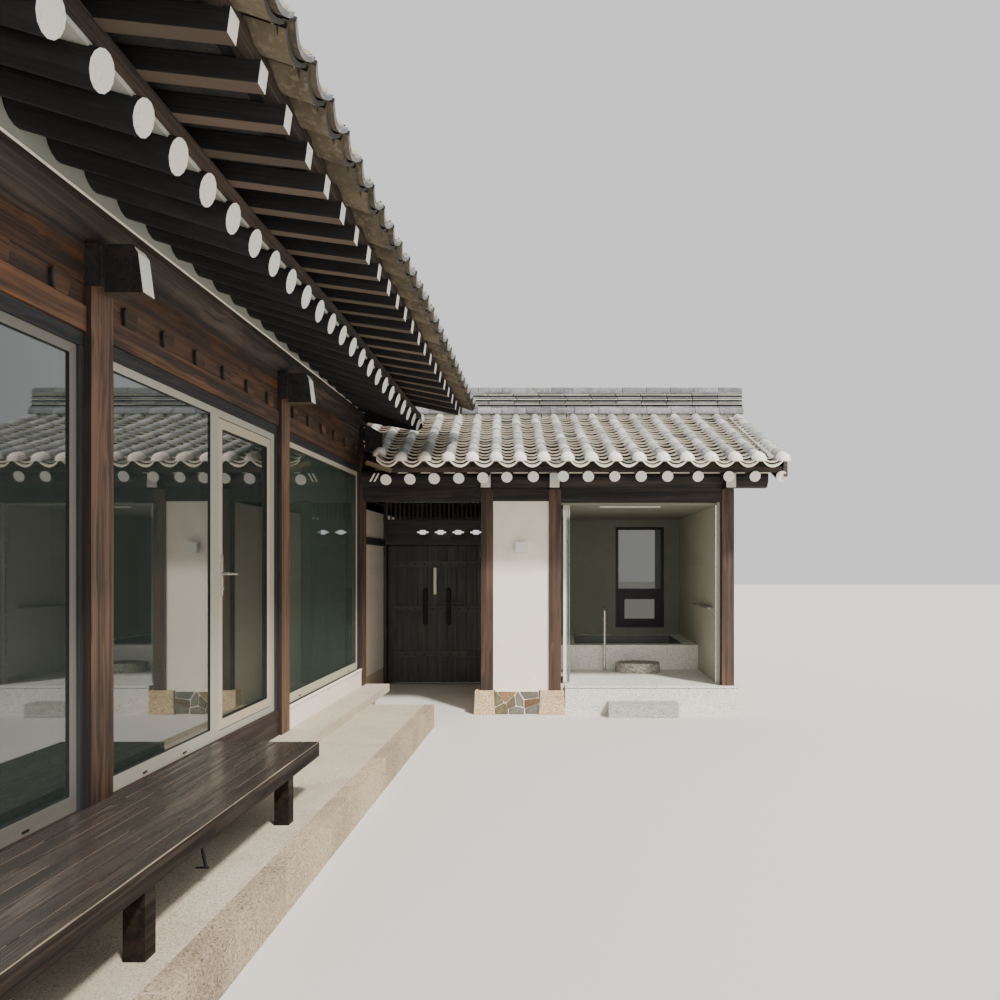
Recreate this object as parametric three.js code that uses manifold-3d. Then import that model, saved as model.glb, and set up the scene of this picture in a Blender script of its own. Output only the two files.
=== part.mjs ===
// Hanok house: a raised main wing with a glazed court front, and a lower gate wing at right angles to it.
// Millimetres, +Z up, +Y from the court towards the gate wing, +X away from the main wing.
import * as THREE from 'three';
import { mergeVertices } from 'three/addons/utils/BufferGeometryUtils.js';
import Module from 'manifold-3d';

const wasm = await Module();
wasm.setup();

// Clearances
const GAP = 0.3;
const BITE = 6;

// Main wing, plan
const COURT_X = -2170;
const WEST_X = -5470;
const MAIN_RIDGE_X = (COURT_X + WEST_X) / 2;
const POST = 180;
const POST_Y = [1280, 3780, 6290, 8784];
const MAIN_SOUTH = 620;
const MAIN_NORTH = 8870;

// Main wing, heights
const PLINTH_TOP = 216;
const LEDGE_TOP = 292;
const FLOOR_TOP = 478;
const PLINTH_END_Y = 8015;
const WINDOW_TOP = 2520;
const HEADER_TOP = 2585;
const LINTEL_TOP = 2700;
const POST_TOP = 2790;
const PURLIN_R = 120;
const BEAM_TOP = 3090;
const BEAM_W = 160;
const BEAM_HEAD = 295;
const RIDGE_BEAM_R = 100;

// Main eaves, court side. The west side mirrors them about the ridge.
const RAFTER_R = 67.5;
const RAFTER_END = [-1455, 3080];
const RAFTER_SLOPE = 0.31;
const RAFTER_PITCH = 264;
const LAST_RAFTER_Y = 8450;
const RAFTER_COUNT = 30;
const FLYER_END = [-1040, 3180];
const FLYER_SLOPE = 0.136;
const FLYER_W = 70;
const FLYER_H = 82;
const FLYER_TAIL_X = -1940;
const MAIN_TILE_EDGE = [-930, 3330, 3385];
const MAIN_RIDGE_BASE = 4500;
const MAIN_RIDGE_TOP = 4900;
const MAIN_RIDGE_HALF = 130;
const MAIN_EAVE_SLOPE = 0.33;
const PURLIN_Z = RAFTER_END[1] + RAFTER_SLOPE * (RAFTER_END[0] - COURT_X)
  - (RAFTER_R + PURLIN_R + GAP) * Math.hypot(1, RAFTER_SLOPE);
const PURLIN_SEAT = PURLIN_Z - PURLIN_R;

// Gate wing, plan
const FRONT_Y = 8757;
const GATE_RIDGE_Y = 10250;
const REAR_Y = 2 * GATE_RIDGE_Y - FRONT_Y;
const WING_POST = 125;
const POST_A = -780;
const POST_B = -75;
const POST_C = 1730;
const CORNER_WALL_X = -2340;
const WALL_INNER_Y = 11670;
const WALL_OUTER_Y = 11790;
const GATE_ROOF_EAST = 2200;
const GATE_ROOF_WEST = -6000;
const GATE_ROOF_FRONT_WEST = -1850;
const CORNER_START_Y = 8880;

// Gate wing, heights
const WING_LINTEL_BOTTOM = 2220;
const WING_LINTEL_TOP = 2360;
const WING_PURLIN_R = 110;
const WING_BEAM_Z = [2346, 2500];
const WING_BEAM_W = 104;
const WING_RAFTER_R = 55;
const WING_RAFTER_END = [8150, 2420];
const WING_RAFTER_SLOPE = 0.37;
const WING_RAFTER_PITCH = 257.6;
const WING_PURLIN_Z = WING_RAFTER_END[1] + WING_RAFTER_SLOPE * (FRONT_Y - WING_RAFTER_END[0])
  - (WING_RAFTER_R + WING_PURLIN_R + GAP) * Math.hypot(1, WING_RAFTER_SLOPE);
const WING_FIRST_RAFTER_X = -1720;
const WING_FRONT_RAFTERS = 16;
// The seen rafters stand a little unevenly
const WING_FRONT_RAFTER_X = [
  -1719, -1485, -1248, -1008, -772, -538, -280, 12, 259, 516, 774, 1032, 1330, 1629, 1886, 2144,
];
const WING_REAR_FIRST = -16;
const WING_TILE_EDGE = [8000, 2500, 2550];
const WING_EAVE_SLOPE = 0.33;
const WING_RIDGE_BASE = 3400;
const WING_RIDGE_TOP = 3735;
const WING_RIDGE_HALF = 120;

// Windows of the court front
const JAMB = 34;
const FRAME_X = [-2195, -2125];
const PANE_X = [-2152, -2132];
const STILE = 56;
const BOTTOM_RAIL = 75;
const TOP_RAIL = 60;
const MULLION_Y = [5050, 5170];
const DOOR_Y = [5175, 6095];
const DOOR_OPENING_END = 6100;
const DOOR_Z = [528, 2455];
const DOOR_STILE = 82;
const HINGE_AXIS = [-2203.3, 6101];

// Bench
const BENCH_X = [-1984, -1395];
const BENCH_Y = [1300, 4800];
const BENCH_TOP = 540;
const BENCH_DECK = 82;
const BENCH_LEG = 75;
const BENCH_LEG_Y = [1440, 2850, 4330];

// Gate
const GATE_Y = [10960, 11010];
const GATE_SEAM_X = -1636;
const LEAF_W = 640;
const LEAF_Z = [15, 1805];
const GATE_HEAD_Z = [1820, 1890];
const TRANSOM_TOP = 2440;
const LEDGE_Z = [350, 940, 1525];
const LEDGE_H = 82;
const LEDGE_PROUD = 22;
const LEDGE_SHORT = 75;
const KEEPER_IN = 147;
const KEEPER_W = 53;
const KEEPER_PROUD = 75;
const KEEPER_Z = [770, 1255];
const BOLT_Y = [-62, -28];
const BOLT_Z = [1038, 1078];
const BOLT_PAST_KEEPER = 195;
const PIVOT_IN = 28;
const PIVOT_R = 14;
const SILL_H = 8;
const CLOUDS = 4;
const FIRST_CLOUD_X = -1830;
const CLOUD_PITCH = 233;
const CLOUD_Z = 1985;
const CLOUD_SIZE = [150, 62];
const LIGHT_BAR_PITCH = 110;
const LIGHT_BAR_W = 30;
const LIGHT_Z = [2150, 2380];

// Bath bay
const BATH_X = [-12.5, 1640];
const PLATFORM_TOP = 297;
const RIM_TOP = 589;
const PLATFORM_Y = [8690, 10060];
const BASIN_X = [150, 1480];
const BASIN_Y = [10250, 11480];
const BASIN_FLOOR = 140;
const BASE_BLOCK_TOP = 250;
const BATH_WINDOW_X = [748, 1427];
const BATH_WINDOW_Z = [684, 2087];
const BATH_STILE = 42;
const UPPER_LIGHT_Z = [1224, 2047];
const LOWER_STILE = 128;
const LOWER_LIGHT_Z = [802, 1076];
const ROUND_STEP_R = 265;
const ROUND_STEP_FLAT = 0.74;
const ROUND_STEP_H = 115;
const ROUND_STEP_AT = [890, 9842];
const STEP_STONE = [[474, 1190], 143];
const STEP_STONE_FRONT = 8470;
const GRAB_RAIL_X = 510;
const GRAB_RAIL_Y = [9985, 10165];
const GRAB_RAIL_TOP = 1051;
const GRAB_RAIL_BEND = 70;
const GRAB_RAIL_R = 14;

const material = (colour, roughness, metalness = 0) =>
  new THREE.MeshStandardMaterial({ color: colour, roughness, metalness });
const timber = material(0x3a241a, 0.65);
const darkTimber = material(0x211a17, 0.7);
const granite = material(0xb9ab97, 0.85);
const plaster = material(0xd9d4cb, 0.9);
const aluminium = material(0x9b9084, 0.45, 0.6);
const steel = material(0xb8b8b6, 0.3, 1);
const glass = material(0x9db3ac, 0.05);
const tile = material(0x6d6a66, 0.85);
const render = material(0xb5aa9b, 0.85);

const house = new THREE.Group();

function add(name, geometry, finish) {
  const mesh = new THREE.Mesh(geometry, finish);
  mesh.name = name;
  house.add(mesh);
  return mesh;
}

// A box between low and high corners
function box(x, y, z) {
  const geometry = new THREE.BoxGeometry(x[1] - x[0], y[1] - y[0], z[1] - z[0]);
  geometry.translate((x[0] + x[1]) / 2, (y[0] + y[1]) / 2, (z[0] + z[1]) / 2);
  return geometry;
}

function outline(points, holes = []) {
  const shape = new THREE.Shape(points.map(([u, v]) => new THREE.Vector2(u, v)));
  for (const hole of holes) {
    shape.holes.push(new THREE.Path(hole.map(([u, v]) => new THREE.Vector2(u, v))));
  }
  return shape;
}

const rectangle = (u, v) => [[u[0], v[0]], [u[1], v[0]], [u[1], v[1]], [u[0], v[1]]];

// A plan outline raised from z[0] to z[1]
function raised(points, z, holes = []) {
  const geometry = new THREE.ExtrudeGeometry(outline(points, holes), {
    depth: z[1] - z[0], bevelEnabled: false,
  });
  geometry.translate(0, 0, z[0]);
  return geometry;
}

// An (x, z) outline run along y
function alongY(points, y, holes = []) {
  const geometry = new THREE.ExtrudeGeometry(outline(points, holes), {
    depth: y[1] - y[0], bevelEnabled: false,
  });
  geometry.rotateX(Math.PI / 2);
  geometry.translate(0, y[1], 0);
  return geometry;
}

// A (y, z) outline run along x
function alongX(points, x, holes = []) {
  const geometry = new THREE.ExtrudeGeometry(outline(points, holes), {
    depth: x[1] - x[0], bevelEnabled: false,
  });
  geometry.applyMatrix4(new THREE.Matrix4().set(0, 0, 1, 0, 1, 0, 0, 0, 0, 1, 0, 0, 0, 0, 0, 1));
  geometry.translate(x[0], 0, 0);
  return geometry;
}

// A round bar between two points
function bar(from, to, radius, sides) {
  const start = new THREE.Vector3(...from);
  const end = new THREE.Vector3(...to);
  const run = end.clone().sub(start);
  const geometry = new THREE.CylinderGeometry(radius, radius, run.length(), sides);
  const turn = new THREE.Quaternion().setFromUnitVectors(new THREE.Vector3(0, 1, 0), run.normalize());
  geometry.applyQuaternion(turn);
  const middle = start.add(end).multiplyScalar(0.5);
  geometry.translate(middle.x, middle.y, middle.z);
  return geometry;
}

function toSolid(geometry) {
  const plain = geometry.clone();
  plain.deleteAttribute('normal');
  plain.deleteAttribute('uv');
  const merged = mergeVertices(plain, 1e-3);
  return new wasm.Manifold(new wasm.Mesh({
    numProp: 3,
    vertProperties: new Float32Array(merged.attributes.position.array),
    triVerts: new Uint32Array(merged.index.array),
  }));
}

function toGeometry(solid) {
  const mesh = solid.getMesh();
  const geometry = new THREE.BufferGeometry();
  geometry.setAttribute('position', new THREE.BufferAttribute(new Float32Array(mesh.vertProperties), 3));
  geometry.setIndex(new THREE.BufferAttribute(new Uint32Array(mesh.triVerts), 1));
  geometry.computeVertexNormals();
  return geometry;
}

function join(geometries) {
  return toGeometry(geometries.map(toSolid).reduce((whole, next) => whole.add(next)));
}

function cut(geometry, cutters) {
  return toGeometry(cutters.map(toSolid).reduce((whole, next) => whole.subtract(next), toSolid(geometry)));
}

const mirrorX = (x) => 2 * MAIN_RIDGE_X - x;
const mirrorY = (y) => 2 * GATE_RIDGE_Y - y;
const inset = ([low, high], amount) => [low + amount, high - amount];
const around = (centre, width) => [centre - width / 2, centre + width / 2];

// Lines of the main eaves, as heights at a given x on the court side
const rafterRise = RAFTER_R * Math.hypot(1, RAFTER_SLOPE);
const rafterTop = (x) => RAFTER_END[1] + rafterRise + RAFTER_SLOPE * (RAFTER_END[0] - x);
const flyerBottom = (x) => FLYER_END[1] + FLYER_SLOPE * (FLYER_END[0] - x);
const wingRafterRise = WING_RAFTER_R * Math.hypot(1, WING_RAFTER_SLOPE);
const wingRafterTop = (y) => WING_RAFTER_END[1] + wingRafterRise + WING_RAFTER_SLOPE * (y - WING_RAFTER_END[0]);

// The sagging tile surface from an eave to the ridge base: steeper towards the ridge
function tileCurve(eave, ridge, slope, steps) {
  const run = Math.abs(ridge[0] - eave[0]);
  const bend = (ridge[1] - eave[1] - slope * run) / (run * run);
  return Array.from({ length: steps + 1 }, (_, i) => {
    const d = (run * i) / steps;
    return [eave[0] + Math.sign(ridge[0] - eave[0]) * d, eave[1] + slope * d + bend * d * d];
  });
}

// Stone: plinth with its kerb, and the ledge under the posts
function stonework() {
  add('plinth', raised([
    [-1227, 700], [-1227, PLINTH_END_Y], [-1985, PLINTH_END_Y], [-1985, CORNER_START_Y], [CORNER_WALL_X, CORNER_START_Y],
    [CORNER_WALL_X, 11890], [-5620, 11890], [-5620, CORNER_START_Y], [-5900, CORNER_START_Y], [-5900, 700],
  ], [0, PLINTH_TOP]), granite);
  add('stone_ledge', box([-5805, -1835], [945, CORNER_START_Y - GAP], [PLINTH_TOP, LEDGE_TOP]), granite);
}

function mainFloor() {
  const face = COURT_X + POST / 2 - 20;
  const notch = COURT_X - POST / 2 - GAP;
  const points = [[WEST_X + POST / 2 + GAP, POST_Y[3] - POST / 2 - GAP], [WEST_X + POST / 2 + GAP, POST_Y[0] + POST / 2 + GAP]];
  points.push([face, POST_Y[0] + POST / 2 + GAP]);
  for (const y of [POST_Y[1], POST_Y[2]]) {
    const [low, high] = around(y, POST + 2 * GAP);
    points.push([face, low], [notch, low], [notch, high], [face, high]);
  }
  points.push([face, POST_Y[3] - POST / 2 - GAP]);
  add('main_floor', raised(points, [LEDGE_TOP, FLOOR_TOP]), timber);
}

function mainPosts() {
  POST_Y.forEach((y, i) => {
    add(`court_post_${i + 1}`, box(around(COURT_X, POST), around(y, POST), [LEDGE_TOP, POST_TOP]), timber);
  });
  const posts = POST_Y.map((y) => box(around(WEST_X, POST), around(y, POST), [LEDGE_TOP, POST_TOP]));
  const lintel = box(around(WEST_X, 110), [POST_Y[0], POST_Y[3]], [HEADER_TOP, LINTEL_TOP]);
  add('west_frame', join([...posts, lintel]), timber);
}

// Lintel, its row of bearing blocks, window header and jambs of one bay of the court front
function courtHead(i) {
  const y = inset([POST_Y[i], POST_Y[i + 1]], POST / 2 + GAP);
  const x = [-2230, -2100];
  const parts = [
    box(x, y, [WINDOW_TOP, LINTEL_TOP]),
    box(x, [y[0], y[0] + JAMB], [FLOOR_TOP, WINDOW_TOP + BITE]),
    box(x, [y[1] - JAMB, y[1]], [FLOOR_TOP, WINDOW_TOP + BITE]),
  ];
  const blocks = 6;
  for (let k = 0; k < blocks; k += 1) {
    const centre = y[0] + ((k + 0.5) * (y[1] - y[0])) / blocks;
    parts.push(box(around(-2165, 110), around(centre, 130), [LINTEL_TOP - BITE, POST_TOP]));
  }
  parts.push(box([-2200, -2112], y, [LINTEL_TOP - BITE, POST_TOP]));
  add(`court_head_${i + 1}`, join(parts), timber);
}

// Metal window of one bay, pane included. The second bay leaves room for the terrace door.
function courtWindow(i) {
  const y = inset([POST_Y[i], POST_Y[i + 1]], POST / 2 + JAMB + 2 * GAP);
  const z = [FLOOR_TOP, WINDOW_TOP - GAP];
  const hasDoor = i === 1;
  const paneY = [y[0] + STILE, hasDoor ? MULLION_Y[0] : y[1] - STILE];
  const paneZ = [z[0] + BOTTOM_RAIL, z[1] - TOP_RAIL];
  const holes = [rectangle(paneY, paneZ)];
  if (hasDoor) {
    holes.push(rectangle([MULLION_Y[1], DOOR_OPENING_END], [DOOR_Z[0] - 5, DOOR_Z[1] + 5]));
  }
  const frame = alongX(rectangle(y, z), FRAME_X, holes);
  const pane = box(PANE_X, [paneY[0] - BITE, paneY[1] + BITE], [paneZ[0] - BITE, paneZ[1] + BITE]);
  add(`window_${i + 1}`, join([frame, pane]), aluminium);
}

function terraceDoor() {
  const opening = [inset(DOOR_Y, DOOR_STILE), inset(DOOR_Z, DOOR_STILE)];
  const x = [FRAME_X[0], FRAME_X[1] - 5];
  const leaf = alongX(rectangle(DOOR_Y, DOOR_Z), x, [rectangle(...opening)]);
  const pane = box(PANE_X, inset(opening[0], -BITE), inset(opening[1], -BITE));
  const hinges = [DOOR_Z[0] + 220, DOOR_Z[1] - 220].flatMap((z) => [
    bar([...HINGE_AXIS, z - 45], [...HINGE_AXIS, z + 45], 8, 12),
    box([HINGE_AXIS[0], FRAME_X[0] + BITE], [DOOR_Y[1] - 14, HINGE_AXIS[1] - 3], around(z, 80)),
  ]);
  add('terrace_door', join([leaf, pane, ...hinges]), aluminium);

  const face = x[1];
  const y = DOOR_Y[0] + DOOR_STILE / 2;
  const plate = box([face, face + 9], around(y, 26), [1360, 1620]);
  const neck = bar([face + 4, y, 1500], [face + 55, y, 1500], 9, 10);
  const grip = bar([face + 48, y - 8, 1500], [face + 48, y + 128, 1500], 9, 10);
  add('door_handle', join([plate, neck, grip]), steel);
}

// Crossbeams with their heads, king posts and ridge beam of the main wing
function roofFrame() {
  const head = COURT_X + BEAM_HEAD;
  const shoulder = COURT_X - PURLIN_R - 1;
  const profile = (front) => [
    [front, POST_TOP], [front, 2930], [front - 20, 2950], [-2040, 2950], [-2040, PURLIN_SEAT - GAP],
    [shoulder, PURLIN_SEAT - GAP], [shoulder, BEAM_TOP],
  ];
  const shortHead = [[-2070, POST_TOP], [-2070, PURLIN_SEAT - GAP], [shoulder, PURLIN_SEAT - GAP], [shoulder, BEAM_TOP]];
  const far = profile(head).reverse().map(([x, z]) => [mirrorX(x), z]);
  const ridgeZ = rafterTop(MAIN_RIDGE_X) - 2 * rafterRise - (RIDGE_BEAM_R + GAP) * Math.hypot(1, RAFTER_SLOPE);
  const parts = POST_Y.flatMap((y, i) => [
    alongY([...(i === 3 ? shortHead : profile(head)), ...far], around(y, BEAM_W)),
    box(around(MAIN_RIDGE_X, 150), around(y, 150), [BEAM_TOP - BITE, ridgeZ]),
  ]);
  parts.push(bar([MAIN_RIDGE_X, MAIN_SOUTH + 80, ridgeZ], [MAIN_RIDGE_X, 8855, ridgeZ], RIDGE_BEAM_R, 12));
  add('roof_frame', join(parts), timber);
  return ridgeZ;
}

// Round purlin with the square bearer under it, broken where the crossbeams pass
function mainPurlin(name, x) {
  const parts = [bar([x, MAIN_SOUTH + 80, PURLIN_Z], [x, 8855, PURLIN_Z], PURLIN_R, 16)];
  for (let i = 0; i < POST_Y.length - 1; i += 1) {
    const y = inset([POST_Y[i], POST_Y[i + 1]], BEAM_W / 2 + GAP);
    parts.push(box(around(x, 110), y, [POST_TOP, PURLIN_SEAT + 22]));
  }
  add(name, join(parts), timber);
}

// Rafter rows from the north gable to the south verge. The south gable stands between two of them.
function mainRafterRows() {
  return Array.from({ length: RAFTER_COUNT }, (_, i) => LAST_RAFTER_Y - RAFTER_PITCH * i);
}

function mainRafters(mirror, sides) {
  const rows = mainRafterRows();
  const inner = MAIN_RIDGE_X + 32;
  const innerZ = RAFTER_END[1] + RAFTER_SLOPE * (RAFTER_END[0] - inner);
  const parts = rows.map((y) => bar(
    [mirror(RAFTER_END[0]), y, RAFTER_END[1]], [mirror(inner), y, innerZ], RAFTER_R, sides,
  ));
  const outer = RAFTER_END[0] - 12;
  const back = outer - 55;
  const fascia = [
    [outer, rafterTop(outer) - BITE], [outer, flyerBottom(outer) - GAP],
    [back, flyerBottom(back) - GAP], [back, rafterTop(back) - BITE],
  ].map(([x, z]) => [mirror(x), z]);
  parts.push(alongY(fascia, [MAIN_SOUTH + 40, 8730]));
  return parts;
}

function flyingRafters(mirror) {
  const profile = [
    [FLYER_END[0], flyerBottom(FLYER_END[0])], [FLYER_END[0], flyerBottom(FLYER_END[0]) + FLYER_H],
    [FLYER_TAIL_X, flyerBottom(FLYER_TAIL_X) + FLYER_H], [FLYER_TAIL_X, flyerBottom(FLYER_TAIL_X)],
  ].map(([x, z]) => [mirror(x), z]);
  const parts = mainRafterRows().map((y) => alongY(profile, around(y, FLYER_W)));
  const strip = [
    [-1056, flyerBottom(-1056) + FLYER_H - BITE], [-1056, MAIN_TILE_EDGE[1] + 4],
    [-1120, MAIN_TILE_EDGE[1] + 4], [-1120, flyerBottom(-1120) + FLYER_H - BITE],
  ].map(([x, z]) => [mirror(x), z]);
  parts.push(alongY(strip, [MAIN_SOUTH + 40, 8830]));
  return parts;
}

function mainRoof() {
  const [edge, low, high] = MAIN_TILE_EDGE;
  const ridgeSide = MAIN_RIDGE_X + MAIN_RIDGE_HALF;
  const top = [
    [edge, low], ...tileCurve([edge, high], [ridgeSide, MAIN_RIDGE_BASE], MAIN_EAVE_SLOPE, 6),
    [ridgeSide - 25, MAIN_RIDGE_TOP],
  ];
  const under = [
    [MAIN_RIDGE_X, rafterTop(MAIN_RIDGE_X) + GAP], [FLYER_TAIL_X - 8, rafterTop(FLYER_TAIL_X - 8) + GAP],
    [FLYER_TAIL_X - 8, flyerBottom(FLYER_TAIL_X - 8) + FLYER_H + GAP],
    [-1124, flyerBottom(-1124) + FLYER_H + GAP], [-1124, low + 4 + GAP], [-1052, low + 4 + GAP],
  ];
  const mirroredTop = top.slice().reverse().map(([x, z]) => [mirrorX(x), z]);
  const mirroredUnder = under.slice(1).reverse().map(([x, z]) => [mirrorX(x), z]);
  add('main_roof', alongY([...top, ...mirroredTop, ...mirroredUnder, ...under], [MAIN_SOUTH, MAIN_NORTH]), tile);
}

// Plaster gable above a crossbeam, cut round the purlins, king post and ridge beam
function mainGable(name, y, ridgeZ) {
  const side = COURT_X - 5;
  const court = [[side, PURLIN_Z], [side, rafterTop(side) - GAP], [MAIN_RIDGE_X, rafterTop(MAIN_RIDGE_X) - GAP]];
  const west = court.slice(0, 2).reverse().map(([x, z]) => [mirrorX(x), z]);
  const panel = alongY([...court, ...west], y);
  const long = [y[0] - 50, y[1] + 50];
  const cutters = [COURT_X, WEST_X].map((x) => bar([x, long[0], PURLIN_Z], [x, long[1], PURLIN_Z], PURLIN_R + 1, 16));
  cutters.push(bar([MAIN_RIDGE_X, long[0], ridgeZ], [MAIN_RIDGE_X, long[1], ridgeZ], RIDGE_BEAM_R + 1, 12));
  cutters.push(box(around(MAIN_RIDGE_X, 151), long, [BEAM_TOP, ridgeZ]));
  add(name, cut(panel, cutters), plaster);
}

function mainWalls() {
  const endX = [WEST_X + POST / 2 + GAP, COURT_X - POST / 2 - GAP];
  add('south_wall', box(endX, around(POST_Y[0], 100), [LEDGE_TOP, POST_TOP - GAP]), plaster);
  add('north_wall', box(endX, around(POST_Y[3], 100), [LEDGE_TOP, POST_TOP - GAP]), plaster);
  const wallY = [POST_Y[0] + POST / 2 + GAP, POST_Y[3] - POST / 2 - GAP];
  add('west_wall', box([endX[0], endX[0] + 90], wallY, [FLOOR_TOP, POST_TOP - GAP]), plaster);
}

function bench() {
  const under = BENCH_TOP - BENCH_DECK;
  add('bench_deck', box(BENCH_X, BENCH_Y, [under, BENCH_TOP]), timber);
  const parts = BENCH_LEG_Y.flatMap((y) => [
    box([BENCH_X[1] - 10 - BENCH_LEG, BENCH_X[1] - 10], around(y, BENCH_LEG), [PLINTH_TOP, under]),
    box([BENCH_X[0] + 160, BENCH_X[0] + 160 + BENCH_LEG], around(y, BENCH_LEG), [LEDGE_TOP, under]),
    box([BENCH_X[0] + 160, BENCH_X[1] - 10], around(y, BENCH_LEG - 20), [under - 70, under]),
  ]);
  parts.push(box(around((BENCH_X[0] + BENCH_X[1]) / 2, 60), [BENCH_LEG_Y[0], BENCH_LEG_Y[2]], [under - 50, under]));
  add('bench_frame', join(parts), timber);
}

// Base blocks, rubble infill, posts and plaster panel of the gate wing front
function wingFront() {
  const blockY = [8665, 8830];
  const rubble = box([-697 - BITE, -241 + BITE], [8690, 8800], [0, 239]);
  const blocks = [[-917, -697], [-241, 33]].map((x) => box(x, blockY, [0, BASE_BLOCK_TOP]));
  add('panel_base', join([...blocks, rubble]), granite);
  const top = WING_BEAM_Z[0] - GAP;
  add('gate_post_a', box(around(POST_A, WING_POST), around(FRONT_Y, WING_POST), [BASE_BLOCK_TOP, top]), timber);
  add('gate_post_b', box(around(POST_B, WING_POST), around(FRONT_Y, WING_POST), [BASE_BLOCK_TOP, top]), timber);
  add('gate_post_c', box(around(POST_C, WING_POST), around(FRONT_Y, WING_POST), [PLATFORM_TOP, top]), timber);
  const panelX = inset([POST_A, POST_B], WING_POST / 2 + GAP);
  const panelZ = [BASE_BLOCK_TOP - 11, WING_LINTEL_BOTTOM - GAP];
  add('white_panel', cut(box(panelX, [8712, 8800], panelZ), [
    box([-1000, -697 + GAP], [8600, 8900], [0, BASE_BLOCK_TOP]),
    box([-241 - GAP, 100], [8600, 8900], [0, BASE_BLOCK_TOP]),
  ]), plaster);
}

// Purlins, lintels, crossbeams, king posts and ridge purlin of the gate wing
function wingFrame() {
  const east = GATE_ROOF_EAST - 60;
  const west = GATE_ROOF_WEST + 60;
  const half = WING_POST / 2 + GAP;
  const ridgeR = 90;
  const ridgeZ = wingRafterTop(GATE_RIDGE_Y) - 2 * wingRafterRise - (ridgeR + GAP) * Math.hypot(1, WING_RAFTER_SLOPE);
  const lintelZ = [WING_LINTEL_BOTTOM, WING_LINTEL_TOP + 24];
  const frontX = [[COURT_X + POST / 2 + GAP, POST_A - half], [POST_A + half, POST_B - half], [POST_B + half, POST_C - half]];
  const parts = [
    bar([COURT_X + POST / 2 + GAP, FRONT_Y, WING_PURLIN_Z], [east, FRONT_Y, WING_PURLIN_Z], WING_PURLIN_R, 12),
    bar([west, REAR_Y, WING_PURLIN_Z], [east, REAR_Y, WING_PURLIN_Z], WING_PURLIN_R, 12),
    bar([west, GATE_RIDGE_Y, ridgeZ], [east, GATE_RIDGE_Y, ridgeZ], ridgeR, 12),
    box([WEST_X, POST_C], around(REAR_Y, 100), lintelZ),
    ...frontX.map((x) => box(x, around(FRONT_Y, 100), lintelZ)),
  ];
  const beams = [[-2400, CORNER_START_Y + 10], [POST_A, FRONT_Y - 220], [POST_B, FRONT_Y - 220]];
  for (const [x, start] of beams) {
    parts.push(box(around(x, WING_BEAM_W), [start, REAR_Y + 220], WING_BEAM_Z));
    parts.push(box(around(x, 100), around(GATE_RIDGE_Y, 100), [WING_BEAM_Z[1] - BITE, ridgeZ]));
  }
  parts.push(box(around(POST_C, WING_BEAM_W), [FRONT_Y - 220, FRONT_Y + 60], WING_BEAM_Z));
  add('gate_roof_frame', join(parts), timber);
  return ridgeZ;
}

function wingRafters(name, mirror, columns, sides, fasciaX) {
  const inner = GATE_RIDGE_Y - 30;
  const innerZ = WING_RAFTER_END[1] + WING_RAFTER_SLOPE * (inner - WING_RAFTER_END[0]);
  const parts = columns.map((x) => bar(
    [x, mirror(WING_RAFTER_END[0]), WING_RAFTER_END[1]], [x, mirror(inner), innerZ], WING_RAFTER_R, sides,
  ));
  const outer = WING_RAFTER_END[0] + 10;
  const fascia = [
    [outer, wingRafterTop(outer) - BITE], [outer, 2515], [outer + 50, 2515], [outer + 50, wingRafterTop(outer + 50) - BITE],
  ].map(([y, z]) => [mirror(y), z]);
  parts.push(alongX(fascia, fasciaX));
  add(name, join(parts), timber);
}

function wingRoof() {
  const [edge, low, high] = WING_TILE_EDGE;
  const ridgeSide = GATE_RIDGE_Y - WING_RIDGE_HALF;
  const top = [
    [edge, low], ...tileCurve([edge, high], [ridgeSide, WING_RIDGE_BASE], WING_EAVE_SLOPE, 6),
    [ridgeSide + 20, WING_RIDGE_TOP],
  ];
  const under = [
    [GATE_RIDGE_Y, wingRafterTop(GATE_RIDGE_Y) + GAP], [8214, wingRafterTop(8214) + GAP],
    [8214, 2515 + GAP], [8156, 2515 + GAP],
  ];
  const mirroredTop = top.slice().reverse().map(([y, z]) => [mirrorY(y), z]);
  const mirroredUnder = under.slice(1).reverse().map(([y, z]) => [mirrorY(y), z]);
  const profile = [...top, ...mirroredTop, ...mirroredUnder, ...under];
  const whole = alongX(profile, [GATE_ROOF_WEST, GATE_ROOF_EAST]);
  const notch = box([GATE_ROOF_WEST - 100, GATE_ROOF_FRONT_WEST], [7900, CORNER_START_Y], [2000, 4000]);
  add('gate_roof', cut(whole, [notch]), tile);
}

// Gable of the gate wing, cut round its purlins
function wingGable(name, x, start, bottom, ridgeZ) {
  const y = [start, REAR_Y - 50 - GAP];
  const peak = [GATE_RIDGE_Y, wingRafterTop(GATE_RIDGE_Y) - GAP];
  const points = [[y[0], bottom], [y[0], wingRafterTop(y[0]) - GAP], peak, [y[1], wingRafterTop(mirrorY(y[1])) - GAP], [y[1], bottom]];
  const long = [x[0] - 50, x[1] + 50];
  const cutters = [[FRONT_Y, WING_PURLIN_Z, WING_PURLIN_R], [REAR_Y, WING_PURLIN_Z, WING_PURLIN_R], [GATE_RIDGE_Y, ridgeZ, 90]]
    .map(([cy, cz, r]) => bar([long[0], cy, cz], [long[1], cy, cz], r + 1, 12));
  add(name, cut(alongX(points, x), cutters), plaster);
}

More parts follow.
